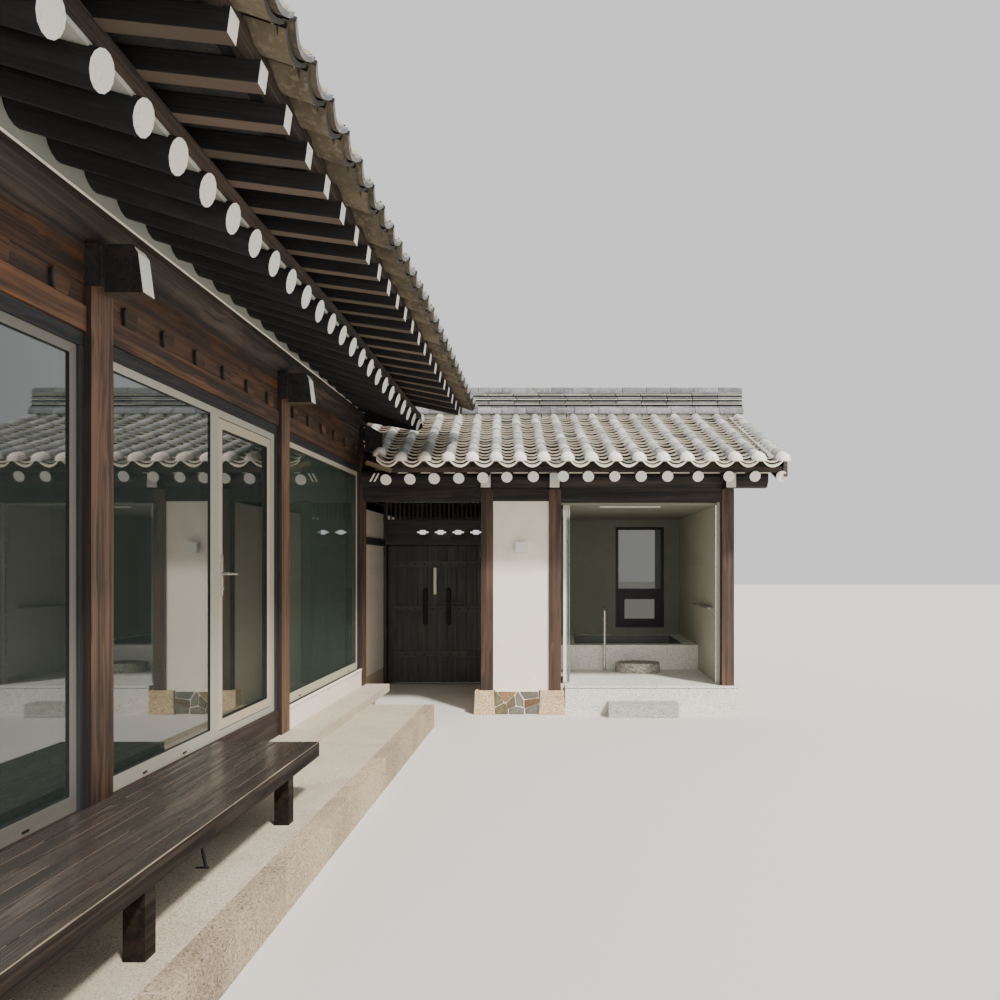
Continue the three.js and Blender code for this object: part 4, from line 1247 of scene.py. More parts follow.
@dataclass
class Ridge:
    """The ridge: a round tile row at each foot, thin courses, and a cap row."""

    name: str
    wing: Wing
    span: Span
    base: float
    top: float
    half: float
    courses: int
    foot: float = 0.066
    crown: float = 0.075

    def course(self, shape: Shape, low: float, high: float, wide: float, finish: str) -> None:
        """One course of thin tiles, as separate lengths.

        Args:
            shape: The piece that is added to.
            low: Its underside.
            high: Its top.
            wide: Half its width.
            finish: Its finish.
        """
        first = self.span[0] + shape.dice.uniform(0.06, 0.3)
        places = [self.span[0]] + steps(first, self.span[1], 0.31)
        corners = ((-wide, low + 0.004), (-wide, high - 0.004), (wide, high - 0.004), (wide, low + 0.004))
        for a, b in zip(places, places[1:]):
            middle = self.wing.ridge_at + shape.dice.uniform(-0.003, 0.003)
            ends = (a + 0.005, b - 0.005)
            rings = [[self.wing.point(middle + u, place, v) for u, v in corners] for place in ends]
            shape.loft(rings, finish, self.wing.along)

    def tube(self, shape: Shape, offset: float, height: float, radius: float) -> None:
        """A row of round tiles along the ridge, with mortar at their ends.

        Args:
            shape: The piece that is added to.
            offset: Its distance from the ridge's middle.
            height: Height of its base.
            radius: Its radius.
        """
        places = steps(self.span[0], self.span[1], 0.29)
        middle = self.wing.ridge_at + offset
        for a, b in zip(places, places[1:]):
            rings = []
            for place, grow in ((a + 0.004, 1.03), (b - 0.003, 0.95)):
                wide = radius * grow
                ring = [*arch(wide, wide, height, 8), (-wide, height - 0.02), (wide, height - 0.02)]
                rings.append([self.wing.point(middle + u, place, v) for u, v in ring])
            shape.loft(rings, "ridge_tile", self.wing.along, end_finish="tile_mortar")

    def build(self) -> None:
        """Build the ridge."""
        shape = Shape(self.name)
        for side in (-1, 1):
            self.tube(shape, side * (self.half - self.foot * 0.5), self.base + 0.002, self.foot)
        start = self.base + 0.025
        stop = self.top - self.crown * 1.02
        lift = (stop - start) / self.courses
        for i in range(self.courses):
            low = start + lift * i
            wide = self.half - 0.008 - 0.006 * i
            # The inset dark course is a dark joint deepened as painted shade.
            self.course(shape, low, low + lift * 0.4, wide - 0.022, "tile_gap")
            self.course(shape, low + lift * 0.3, low + lift * 0.62, wide - 0.012, "tile_mortar")
            self.course(shape, low + lift * 0.58, low + lift, wide, "ridge_tile")
        self.course(shape, self.base - 0.12, start + 0.006, self.half - 0.03, "tile_mortar")
        self.tube(shape, 0.0, stop, self.crown)
        shape.build(slot="roof_tile", smooth=40)


@dataclass
class Verge:
    """The edge of a roof at a gable: bargeboard, and tiles laid on it."""

    name: str
    wing: Wing
    slope: Slope
    along: float
    inward: float
    start: float = 0.0
    drop: float = 0.115
    depth: float = 0.2
    thick: float = 0.04

    def build(self) -> None:
        """Build the board and the row of tiles."""
        shape = Shape(self.name)
        a, b = self.along, self.along + self.inward * self.thick
        rings = []
        for out in steps(self.start, self.slope.run, 0.35):
            across, height = self.slope.at(out)
            low, high = height - self.drop - self.depth, height - self.drop
            corners = ((a, low), (a, high), (b, high), (b, low))
            rings.append([self.wing.point(across, u, v) for u, v in corners])
        shape.loft(rings, "fascia_wood", self.wing.across.vector)
        bow = [
            (self.along + self.inward * (0.006 + 0.19 * i / 6), 0.03 * ((i - 3) / 3) ** 2) for i in range(7)
        ]
        places = steps(self.start, self.slope.run, 0.145)
        for out, further in zip(places, places[1:]):
            rings = []
            for place, lift in ((out, 0.0), (further + 0.02, -0.012)):
                across, height = self.slope.at(min(place, self.slope.run))
                base = height - 0.055 + lift
                ring = [(u, base + v) for u, v in bow] + [(u, base - 0.028 + v) for u, v in reversed(bow)]
                rings.append([self.wing.point(across, u, v) for u, v in ring])
            shape.loft(rings, "roof_tile", self.wing.along)
        shape.build(slot="roof_tile", smooth=30)


@dataclass
class RoofBed:
    """The earth bed between the boards on the rafters and the tiles."""

    name: str
    replaces: str
    wing: Wing
    underside: list[Span]
    parts: list[tuple[Span, float]]
    cover: float = 0.1

    def floor(self, start: float) -> list[Span]:
        """The underside from the seen eave to the ridge.

        Args:
            start: Distance from the eave that it starts at.

        Returns:
            Its corners.
        """
        edge = self.wing.slope.edge[0]
        points: list[Span] = []
        for a, b in zip(self.underside, self.underside[1:]):
            near, far = abs(a[0] - edge), abs(b[0] - edge)
            if near >= start:
                points.append(a)
            elif far > start:
                share = (start - near) / (far - near)
                points.append((a[0] + (b[0] - a[0]) * share, a[1] + (b[1] - a[1]) * share))
        return points + [self.underside[-1]]

    def outline(self, start: float) -> list[Span]:
        """The bed's section across the wing.

        Args:
            start: Distance from the seen eave that it starts at.

        Returns:
            Its corners.
        """
        slope, twice = self.wing.slope, 2 * self.wing.ridge_at
        first = abs(self.underside[0][0] - slope.edge[0])
        near = [slope.at(out) for out in steps(max(start, first), slope.run, 0.4)]
        far = [(twice - u, v) for u, v in reversed([slope.at(out) for out in steps(first, slope.run, 0.4)])]
        top = [(u, v - self.cover) for u, v in [*near, (self.wing.ridge_at, slope.ridge[1]), *far]]
        under = [(twice - u, v) for u, v in self.floor(0.0)[:-1]]
        return top + under + self.floor(max(start, first))[::-1]

    def build(self) -> None:
        """Build the bed."""
        shape = Shape(self.name)
        for span, start in self.parts:
            self.wing.run(shape, self.outline(start), span, "roof_tile_dark", 0.3)
        shape.build(replaces=[self.replaces], slot="roof_tile")


@dataclass
class MainRoof:
    """Rafters, tiles and ridge of the tall wing."""

    last_rafter: float = 8.45
    pitch: float = 0.264
    count: int = 30
    span: Span = (0.62, 8.87)
    ridge_top: float = 4.9
    purlin: tuple[float, float, float] = (-2.17, 3.105, 0.12)
    underside: tuple[Span, ...] = ((-1.126, 3.276), (-1.948, 3.388), (-1.949, 3.306), (-3.82, 3.886))

    @staticmethod
    def lift(p: Point) -> float:
        """How far the court eave rises near the viewer and sinks at its far end.

        Args:
            p: A court point of the roof.

        Returns:
            The change of its height.
        """
        share = min(1.0, max(0.0, (p[0] + 2.17) / 0.715))
        near = 0.045 * min(1.3, max(0.0, (4.0 - p[1]) / 1.6))
        return share * (near - 0.11 * min(1.0, max(0.0, (p[1] - 5.6) / 2.85)))

    def sway(self) -> None:
        """Bend the pieces of the court eave to its rise."""
        eave = "rafters eave_boards plaster_pockets tile_support flying_rafters flying_boards".split()
        roof = "court_roof_round_tiles court_roof_concave_tiles court_south_verge main_roof_bed".split()
        for name in [f"court_eave_{part}" for part in eave] + roof:
            for vertex in bpy.data.objects[name].data.vertices:
                vertex.co.z += self.lift(vertex.co - SHIFT)

    def build(self) -> None:
        """Build the roof of the tall wing."""
        places = [self.last_rafter - self.pitch * i for i in range(self.count)]
        for name, slope in (("court", MAIN.slope), ("west", MAIN.slope.mirrored(MAIN.ridge_at))):
            far = name == "west"
            tiles = TileField(f"{name}_roof", MAIN, slope, self.span, False)
            tiles.build()
            Eaves(
                f"{name}_eave", MAIN, MAIN_RAFTERS, places, (0.66, 8.73), f"{name}_rafters", self.purlin, far,
                (3.33, 3.385), (-1.066, -1.096),
            ).build(tiles.rows())
            FlyingRafters(f"{name}_eave", f"{name}_flying_rafters", places, far).build()
            Verge(f"{name}_south_verge", MAIN, slope, self.span[0], 1.0, 0.12).build()
        RoofBed("main_roof_bed", "main_roof", MAIN, list(self.underside), [((0.66, 8.86), 0.0)]).build()
        self.sway()
        Ridge("main_ridge", MAIN, self.span, 4.47, self.ridge_top, 0.13, 5).build()


@dataclass
class GateRoof:
    """Rafters, tiles and ridge of the low wing."""

    first: float = -1.72
    pitch: float = 0.2576
    east: float = 2.2
    west: float = -6.0
    front_west: float = -1.85
    corner: float = 0.89
    ridge_top: float = 3.735
    front_places: tuple[float, ...] = (
        -1.719, -1.485, -1.248, -1.008, -0.772, -0.538, -0.28, 0.012,
        0.259, 0.516, 0.774, 1.032, 1.33, 1.629, 1.886, 2.144,
    )
    lean: float = -0.074
    eave_west: float = -1.73
    purlin: tuple[float, float, float] = (8.757, 2.468, 0.11)

    def front_start(self, along: float) -> float:
        """Distance from the eave at which the front tiles start, which the corner cuts short."""
        return min(self.corner, max(0.0, (self.eave_west - along) * 4.0))

    def build(self) -> None:
        """Build the roof of the low wing."""
        places = [self.first + self.pitch * i for i in range(-16, 16)]
        far_slope = GATE.slope.mirrored(GATE.ridge_at)
        span = (self.west, self.east)
        front = TileField(
            "gate_front_roof", GATE, GATE.slope, span, True, start=self.front_start, lean=self.lean
        )
        rear = TileField("gate_rear_roof", GATE, far_slope, span, True)
        for tiles, name, low, inside, sink in (
            (front, "gate_front", self.front_west, self.front_places, 0.032),
            (rear, "gate_rear", self.west, [x for x in places if x > self.west], 0.0),
        ):
            tiles.build()
            ends = (low + 0.02, self.east - 0.02)
            Eaves(
                f"{name}_eave", GATE, GATE_RAFTERS, list(inside), ends, f"{name}_rafters",
                self.purlin, tiles is rear, (2.513, 2.64), (8.164, 8.194), sink,
            ).build(tiles.rows())
        for slope, along, inward, start, name in (
            (GATE.slope, self.east, -1.0, 0.14, "front_east"),
            (far_slope, self.east, -1.0, 0.14, "rear_east"),
            (far_slope, self.west, 1.0, 0.14, "rear_west"),
            (GATE.slope, self.west, 1.0, self.corner, "front_west"),
        ):
            Verge(f"gate_{name}_verge", GATE, slope, along, inward, start, depth=0.14).build()
        joint = self.front_west + 0.02
        parts = [((joint, self.east - 0.03), 0.0), ((self.west + 0.03, joint), self.corner)]
        RoofBed("gate_roof_bed", "gate_roof", GATE, [(8.215, 2.505), (10.25, 3.258)], parts).build()
        Ridge("gate_ridge", GATE, span, 3.405, self.ridge_top, 0.12, 4).build()


# Court front


def shrink(spans: Iterable[Span], by: float) -> tuple[Span, ...]:
    """Spans made narrower at both ends."""
    return tuple((low + by, high - by) for low, high in spans)


@dataclass
class CourtWindow:
    """Fixed metal window of one bay: frame with its drain caps, gasket and glass."""

    name: str
    node: str
    span: Span
    door_bay: bool = False
    finish: str = "window_aluminium"
    pane: str = "pane_glass"
    heights: Span = (0.478, 2.52)
    frame_x: Span = (-2.195, -2.125)
    stile: float = 0.051
    bottom: float = 0.075
    top: float = 0.044
    mullion: Span = (5.05, 5.17)
    door_side: float = 6.1
    door_heights: Span = (0.523, 2.474)
    reveal: float = 0.009

    def build(self) -> None:
        """Build the window."""
        shape, gasket, glass = (Shape(f"{self.name}_{part}") for part in ("frame", "gasket", "glass"))
        (x0, x1), (y0, y1), (z0, z1) = self.frame_x, self.span, self.heights
        side = self.mullion[0] if self.door_bay else y1 - self.stile
        light = ((y0 + self.stile, side), (z0 + self.bottom, z1 - self.top))
        outer = ((y0, self.mullion[1] if self.door_bay else y1), self.heights)
        shape.surround(self.frame_x, outer, light, self.finish)
        if self.door_bay:
            for z in ((z0, self.door_heights[0]), (self.door_heights[1], z1)):
                shape.block(self.frame_x, (self.mullion[1], y1), z, self.finish)
            shape.block(self.frame_x, (self.door_side, y1), self.door_heights, self.finish, Axis.Z)
        gasket.surround((x0 + 0.012, x1 - 0.001), light, shrink(light, 0.004), "gasket_rubber")
        for place in (y0 + 0.35, (self.mullion[0] if self.door_bay else y1) - 0.35):
            cap = ((place - 0.022, place + 0.022), (z0 + 0.018, z0 + 0.027))
            shape.block((x1, x1 + 0.004), *cap, "black_metal")
        glass.block((x1 - self.reveal - 0.012, x1 - self.reveal), *light, self.pane)
        shape.build(replaces=[self.node], slot="aluminium", bevel=0.0015)
        gasket.build(slot="dark_metal")
        glass.build(slot="glass")


@dataclass
class TerraceDoor:
    """Hinged glass door with its lever handle."""

    leaf_y: Span = (5.175, 6.095)
    leaf_z: Span = (0.528, 2.469)
    leaf_x: Span = (-2.195, -2.13)
    stile: float = 0.062
    reveal: float = 0.019
    lever_z: float = 1.5
    plate_z: Span = (1.36, 1.62)
    hinge: Span = (-2.2033, 6.101)
    # The door's frame metal is lightened as painted light.
    finish: str = "door_aluminium"

    def build(self) -> None:
        """Build the leaf, its glass and its handle."""
        shape, gasket, pane = (Shape(f"door_{part}") for part in ("leaf_frame", "gasket", "glass"))
        outer = (self.leaf_y, self.leaf_z)
        inner = shrink(outer, self.stile)
        shape.surround(self.leaf_x, outer, inner, self.finish)
        knuckle = ((self.hinge[0], self.leaf_x[0] + 0.004), (self.leaf_y[1] - 0.014, self.hinge[1] - 0.003))
        for z in (self.leaf_z[0] + 0.22, self.leaf_z[1] - 0.22):
            shape.rod((*self.hinge, z - 0.045), (*self.hinge, z + 0.045), 0.008, 12, self.finish)
            shape.block(*knuckle, (z - 0.04, z + 0.04), self.finish)
        shape.build(DOOR, ["terrace_door"], "aluminium", 0.0015)
        rubber = (self.leaf_x[0] + 0.014, self.leaf_x[1] - 0.001)
        gasket.surround(rubber, inner, shrink(inner, 0.004), "gasket_rubber")
        gasket.build(DOOR, slot="dark_metal")
        front = self.leaf_x[1] - self.reveal
        pane.block((front - 0.012, front), *inner, "pane_glass")
        pane.build(DOOR, slot="glass")
        self.handle()

    def handle(self) -> None:
        """The lever on its long plate, with the lock cylinder."""
        shape = Shape("door_lever")
        steel, face, y, z = "handle_steel", self.leaf_x[1], self.leaf_y[0] + 0.04, self.plate_z[0] + 0.05
        shape.block((face, face + 0.009), (y - 0.013, y + 0.013), self.plate_z, steel, Axis.Z)
        shape.rod((face + 0.004, y, self.lever_z), (face + 0.055, y, self.lever_z), 0.009, 16, steel)
        lever = (y - 0.008, y + 0.128)
        shape.rod(*((face + 0.05, place, self.lever_z) for place in lever), 0.009, 16, steel)
        shape.rod((face + 0.008, y, z), (face + 0.016, y, z), 0.0085, 16, steel)
        shape.build(DOOR, ["door_handle"], "steel", 0.001, 40)


@dataclass
class CourtHead:
    """Lintel with its bearing blocks and the jambs of one bay, in separate timbers."""

    index: int
    span: Span
    x: Span = (-2.23, -2.1)
    window_top: float = 2.52
    header_top: float = 2.585
    lintel_top: float = 2.70
    post_top: float = 2.79
    floor_top: float = 0.478
    jamb: float = 0.034
    blocks: int = 6
    block: float = 0.11

    def build(self) -> None:
        """Build the timbers of the bay's head."""
        shape = Shape(f"bay_{self.index}_head")
        wood, dark = "lintel_wood", "header_wood"
        (y0, y1), (x0, x1) = self.span, (self.x[0], self.x[1] - 0.012)
        shape.block(self.x, self.span, (self.header_top + 0.002, self.lintel_top), wood)
        shape.block((x0, x1), self.span, (self.window_top, self.header_top), dark)
        for a, b in ((y0, y0 + self.jamb), (y1 - self.jamb, y1)):
            shape.block((x0, x1), (a, b), (self.floor_top, self.window_top), dark, Axis.Z)
        shape.block((x0 + 0.03, x1), self.span, (self.lintel_top + 0.001, self.post_top), wood, tone=0.2)
        facing = ((x1 - 0.003, x1), (y0 + 0.004, y1 - 0.004))
        shape.block(*facing, (self.post_top, self.post_top + 0.16), wood, tone=0.0)
        for k in range(self.blocks):
            self.bearing(shape, y0 + (k + 0.5) * ((y1 - y0) / self.blocks))
        shape.build(replaces=[f"court_head_{self.index}"], slot="timber", bevel=0.004)

    def bearing(self, shape: Shape, middle: float) -> None:
        """A bearing block, narrower at its foot, with a black strip painted as the shade on its near side.

        Args:
            shape: The piece that is added to.
            middle: Its place along the bay.
        """
        wide, narrow = self.block / 2, self.block / 2 - 0.012
        low, high = self.lintel_top, self.post_top
        waist = low + (high - low) * 0.45
        outline = [(-narrow, low), (narrow, low), (wide, waist), (wide, high), (-wide, high), (-wide, waist)]
        rings = [[(x, middle + u, v) for u, v in outline] for x in (self.x[0] + 0.02, self.x[1] + 0.007)]
        shape.loft(rings, "lintel_wood", Axis.Y.vector, tone=0.25)
        # The black strip on the block's near side is painted shade.
        shadow_slit = [(-narrow, low), (-wide, waist), (-wide, high - 0.01)]
        points = [(middle + u, v) for u, v in shadow_slit] + [(middle + u - 0.012, v) for u, v in reversed(shadow_slit)]
        shape.prism(points, (self.x[1] - 0.03, self.x[1] + 0.0065), Axis.X, "gasket_rubber")


@dataclass
class Bench:
    """Long bench of wide boards with pale painted glints along their edges, and the bent rod under it."""

    x: Span = (-1.984, -1.395)
    y: Span = (1.3, 4.8)
    top: float = 0.54
    deck: float = 0.082
    rim: float = 0.04
    boards: int = 7
    stay: tuple[tuple[Span, Span, float, int], ...] = (
        ((-1.522, 0.46), (-1.487, 0.293), 0.008, 10),
        ((-1.53, 0.29), (-1.475, 0.29), 0.004, 8),
    )
    stay_y: float = 3.49

    def build(self) -> None:
        """Build the boards of the deck and the stay."""
        shape = Shape("bench_boards")
        apron, pale = "bench_wood_y", "worn_arris"
        (x0, x1), (y0, y1), top = self.x, self.y, self.top
        width = (x1 - x0 - 0.002) / self.boards
        inside = (y0 + 0.001, y1 - 0.001)
        for i in range(self.boards):
            a = x0 + 0.001 + width * i
            high = top - shape.dice.uniform(0, 0.001)
            b = a + width
            shape.block((a + 0.0015, b - 0.0015), inside, (top - 0.036, high), "bench_wood")
            # Pale strips along stretches of each board's edge are painted glints.
            for worn in self.worn(shape.dice):
                shape.block((b - 0.0036, b - 0.0016), worn, (high - 0.003, high + 0.0003), pale)
        rim = (top - self.deck, top - 0.0365)
        # The apron's dark colour is partly the wood's own and partly painted shade.
        for a, b in ((y0, y0 + self.rim), (y1 - self.rim, y1)):
            shape.block(self.x, (a, b), rim, apron, Axis.X)
        for a, b in ((x0, x0 + self.rim), (x1 - self.rim, x1)):
            shape.block((a, b), (y0 + self.rim, y1 - self.rim), rim, apron)
        shape.block((x1 - 0.001, x1), self.y, (top - 0.037, top - 0.003), apron)
        # A pale strip along the deck's front top edge is a painted highlight.
        shape.block((x1 - 0.0022, x1 + 0.0002), inside, (top - 0.003, top + 0.0004), pale)
        shape.build(replaces=["bench_deck"], slot="timber")
        stay = Shape("bench_stay")
        for (xa, za), (xb, zb), radius, sides in self.stay:
            stay.rod((xa, self.stay_y, za), (xb, self.stay_y, zb), radius, sides, "black_metal")
        stay.build(slot="dark_metal")

    def worn(self, dice: random.Random) -> list[Span]:
        """Starts and ends of the stretches of a board's edge that carry a pale painted glint.

        Args:
            dice: The deck's dice.

        Returns:
            The stretches.
        """
        found: list[Span] = []
        place = self.y[0] + 0.002
        while place < self.y[1] - 0.3:
            end = min(self.y[1] - 0.002, place + dice.uniform(0.25, 0.9))
            found.append((place, end))
            place = end + dice.uniform(0.05, 0.3)
        return found


@dataclass
class CrossBeams:
    """Crossbeams of the tall wing with painted heads on both sides, king posts and ridge beam."""

    width: float = 0.16
    head: float = 0.108
    face: tuple[Span, ...] = ((-1.87, 2.772), (-1.893, 2.95), (-1.916, 2.988))
    shoulder: float = -2.291
    low: float = 2.79
    seat: float = 2.985
    top: float = 3.09

    def build(self) -> None:
        """Build the beams."""
        shape = Shape("cross_beams")
        wood, ridge, seat = "beam_wood", MAIN.ridge_at, self.seat - 0.001
        ridge_z = MAIN_RAFTERS.axis_at(ridge) - MAIN_RAFTERS.rise - 0.1003 * math.hypot(1, MAIN_RAFTERS.slope)
        near = [(-2.04, self.low), (-2.04, seat), (self.shoulder, seat), (self.shoulder, self.top)]
        head = [*self.face, (-2.042, self.face[-1][1]), (-2.042, self.face[0][1])]
        rim = [(x + 0.0015, z + s) for (x, z), s in zip(self.face, (0.003, 0.0, -0.003))]
        skin = rim + [(x - 0.004, z) for x, z in reversed(rim)]
        for y in POSTS:
            outline = near + [(2 * ridge - x, z) for x, z in reversed(near)]
            shape.prism(outline, (y - self.width / 2, y + self.width / 2), Axis.Y, wood)
            a, b = y - self.head / 2, y + self.head / 2
            for court in (False,) if y == POSTS[-1] else (True, False):
                ends = [[(x if court else 2 * ridge - x, z) for x, z in part] for part in (head, skin)]
                shape.prism(ends[0], (a, b), Axis.Y, wood)
                shape.prism(ends[1], (a + 0.003, b - 0.003), Axis.Y, "rafter_end_paint")
            king = ((ridge - 0.075, ridge + 0.075), (y - 0.075, y + 0.075), (self.top - 0.004, ridge_z))
            shape.block(*king, wood, Axis.Z)
        shape.rod((ridge, 0.7, ridge_z), (ridge, 8.855, ridge_z), 0.1, 16, wood)
        shape.build(replaces=["roof_frame"], slot="timber", bevel=0.003)


@dataclass
class CourtFront:
    """Windows, terrace door, heads, floor and bench along the court."""

    half_post: float = 0.09
    jamb: float = 0.034
    # Bay 1's frame carries painted shade; bay 3's frame carries painted light and its glass a painted
    # reflection.
    bays: tuple[Sequence[str], ...] = (("bay_1_aluminium",), (), ("bay_3_aluminium", "bay_3_glass"))
    kerb_x: Span = (-1.322, -1.2255)
    kerb_y: Span = (0.7, 8.015)
    kerb_top: float = 0.2175
    floor_x: Span = (-5.37, -2.3)
    floor_y: Span = (1.4, 8.65)
    board: float = 0.188

    def bay(self, index: int, gap: float) -> Span:
        """The span between two posts, with a gap at both ends."""
        return (POSTS[index] + self.half_post + gap, POSTS[index + 1] - self.half_post - gap)

    def build(self) -> None:
        """Build the court front."""
        for i, finishes in enumerate(self.bays):
            span = self.bay(i, 0.0003)
            CourtHead(i + 1, span).build()
            (inner,) = shrink([span], self.jamb + 0.0003)
            CourtWindow(f"bay_{i + 1}_window", f"window_{i + 1}", inner, i == 1, *finishes).build()
        TerraceDoor().build()
        self.floor()
        self.kerb()
        self.upstand()
        CrossBeams().build()
        Bench().build()

    def kerb(self) -> None:
        """Granite kerb stones along the plinth's outer edge."""
        shape = Shape("plinth_kerb")
        places = [self.kerb_y[0]]
        while places[-1] < self.kerb_y[1]:
            places.append(min(self.kerb_y[1], places[-1] + shape.dice.uniform(0.95, 1.3)))
        for a, b in zip(places, places[1:]):
            # The kerb's colour is partly darkened as painted shade.
            shape.block(self.kerb_x, (a + 0.003, b - 0.003), (0.0, self.kerb_top), "kerb_granite")
        shape.build(slot="granite", bevel=0.006)

    def upstand(self) -> None:
        """The pale rendered upstand under the third window."""
        shape = Shape("bay_3_upstand")
        (_, _, low), (face, _, high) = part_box("main_floor")
        face -= SHIFT.x
        for proud, z in ((0.012, (low, high - 0.028)), (0.018, (high - 0.026, high - 0.002))):
            shape.block((face - 0.02, face + proud), self.bay(2, 0.001), z, "white_plaster")
        shape.build(slot="plaster", bevel=0.003)

    def floor(self) -> None:
        """Oak boards inside."""
        shape = Shape("oak_floor")
        x, (low, high) = self.floor_x[0], self.floor_y
        while x < self.floor_x[1]:
            y = low + shape.dice.uniform(-1.2, 0.0)
            while y < high:
                length = shape.dice.uniform(1.6, 2.4)
                a, b = max(y, low), min(y + length, high)
                if b > a:
                    shape.block((x, x + self.board - 0.002), (a, b - 0.001), (0.4785, 0.482), "floor_oak")
                y += length
            x += self.board
        shape.build(slot="timber")


# Gate wing


@dataclass
class GateLeaf:
    """One gate leaf of upright boards on three rails, with a bolt keeper."""

    node: str
    side: int
    seam: float = -1.636
    width: float = 0.64
    y: Span = (10.96, 11.01)
    z: Span = (0.015, 1.805)
    rails: tuple[float, ...] = (0.35, 0.94, 1.525)
    rail_height: float = 0.082
    rail_proud: float = 0.022
    rail_short: float = 0.075
    keeper_in: float = 0.147
    keeper: Span = (0.053, 0.075)
    keeper_z: Span = (0.77, 1.255)
    bolt_z: Span = (1.038, 1.078)
    pivot_in: float = 0.028

    def build(self) -> None:
        """Build the leaf."""
        shape = Shape(f"{self.node}_boards")
        wood = "gate_wood"
        free = self.seam + self.side * 0.005
        hinge = free + self.side * self.width
        low, high = sorted((self.seam + self.side * 0.001, hinge))
        edges = steps(low, high, 0.128)
        for a, b in zip(edges, edges[1:]):
            shape.block((a + 0.001, b - 0.001), self.y, self.z, wood, Axis.Z, shape.dice.uniform(0.1, 0.5))
        span = (low + self.rail_short, high) if self.side < 0 else (low, high - self.rail_short)
        front = self.y[0] - self.rail_proud
        for z in self.rails:
            # The rails' lightest tone is a painted highlight.
            shape.block(span, (front, self.y[0]), (z, z + self.rail_height), wood, Axis.X, 0.95)
            middle = z + self.rail_height / 2
            for x in steps(span[0] + 0.05, span[1] - 0.05, 0.125):
                shape.rod((x, front - 0.006, middle), (x, front + 0.002, middle), 0.011, 10, "black_metal")
        self.hardware(shape, free)
        pivot = (hinge - self.side * self.pivot_in, sum(self.y) / 2)
        for a, b in ((self.z[1] - 0.004, 1.8197), (0.0083, self.z[0] + 0.004)):
            shape.rod((*pivot, a), (*pivot, b), 0.014, 12, wood)
        shape.build(self.node, [self.node], "dark_timber", 0.003)

    def hardware(self, shape: Shape, free: float) -> None:
        """The bolt keeper, and the bolt on the right leaf.

        Args:
            shape: The piece that is added to.
            free: The leaf's free edge.
        """
        wood = "board_wood"
        middle = free + self.side * self.keeper_in
        wide, proud = self.keeper
        face = self.y[0]
        span = (a, b) = (middle - wide / 2, middle + wide / 2)
        (low, high), (b0, b1) = self.keeper_z, self.bolt_z
        brow, eave = high - 0.008, high - 0.03
        crown = [(a, eave), (a + 0.012, brow), (middle, high), (b - 0.012, brow), (b, eave)]
        shape.prism(crown, (face - proud, face), Axis.Y, wood)
        foot = [(a + 0.01, low), (a, low + 0.03), (b, low + 0.03), (b - 0.01, low)]
        shape.prism(foot, (face - proud * 0.7, face), Axis.Y, wood)
        if self.side < 0:
            shape.block(span, (face - proud, face), (low + 0.03, b0 - 0.006), wood, Axis.Z)
            shape.block(span, (face - proud, face), (b1 + 0.006, high - 0.03), wood, Axis.Z)
            shape.block(span, (face - proud, face - 0.066), (b0 - 0.006, b1 + 0.006), wood, Axis.Z)
            return
        shape.block(span, (face - proud, face), (low + 0.03, high - 0.03), wood, Axis.Z)
        bolt = ((free + 0.004, middle + 0.195), (face - 0.062, face - 0.028), self.bolt_z)
        # The bolt's lightest tone is a painted highlight.
        shape.block(*bolt, "gate_wood", Axis.X, 1.0)


@dataclass
class PullHandle:
    """Pale upright pull on the left leaf."""

    x: Span = (-1.679, -1.641)
    z: Span = (1.17, 1.52)
    face: float = 10.96

    def build(self) -> None:
        """Build the pull and its two studs."""
        shape = Shape("gate_pull")
        pale, middle = "pull_metal", sum(self.x) / 2
        shape.block(self.x, (self.face - 0.05, self.face - 0.032), self.z, pale, Axis.Z)
        for z in (self.z[0] + 0.05, self.z[1] - 0.05):
            shape.rod((middle, self.face - 0.034, z), (middle, self.face + 0.002, z), 0.008, 12, pale)
        shape.build(GATE_LEFT, slot="steel", bevel=0.004)


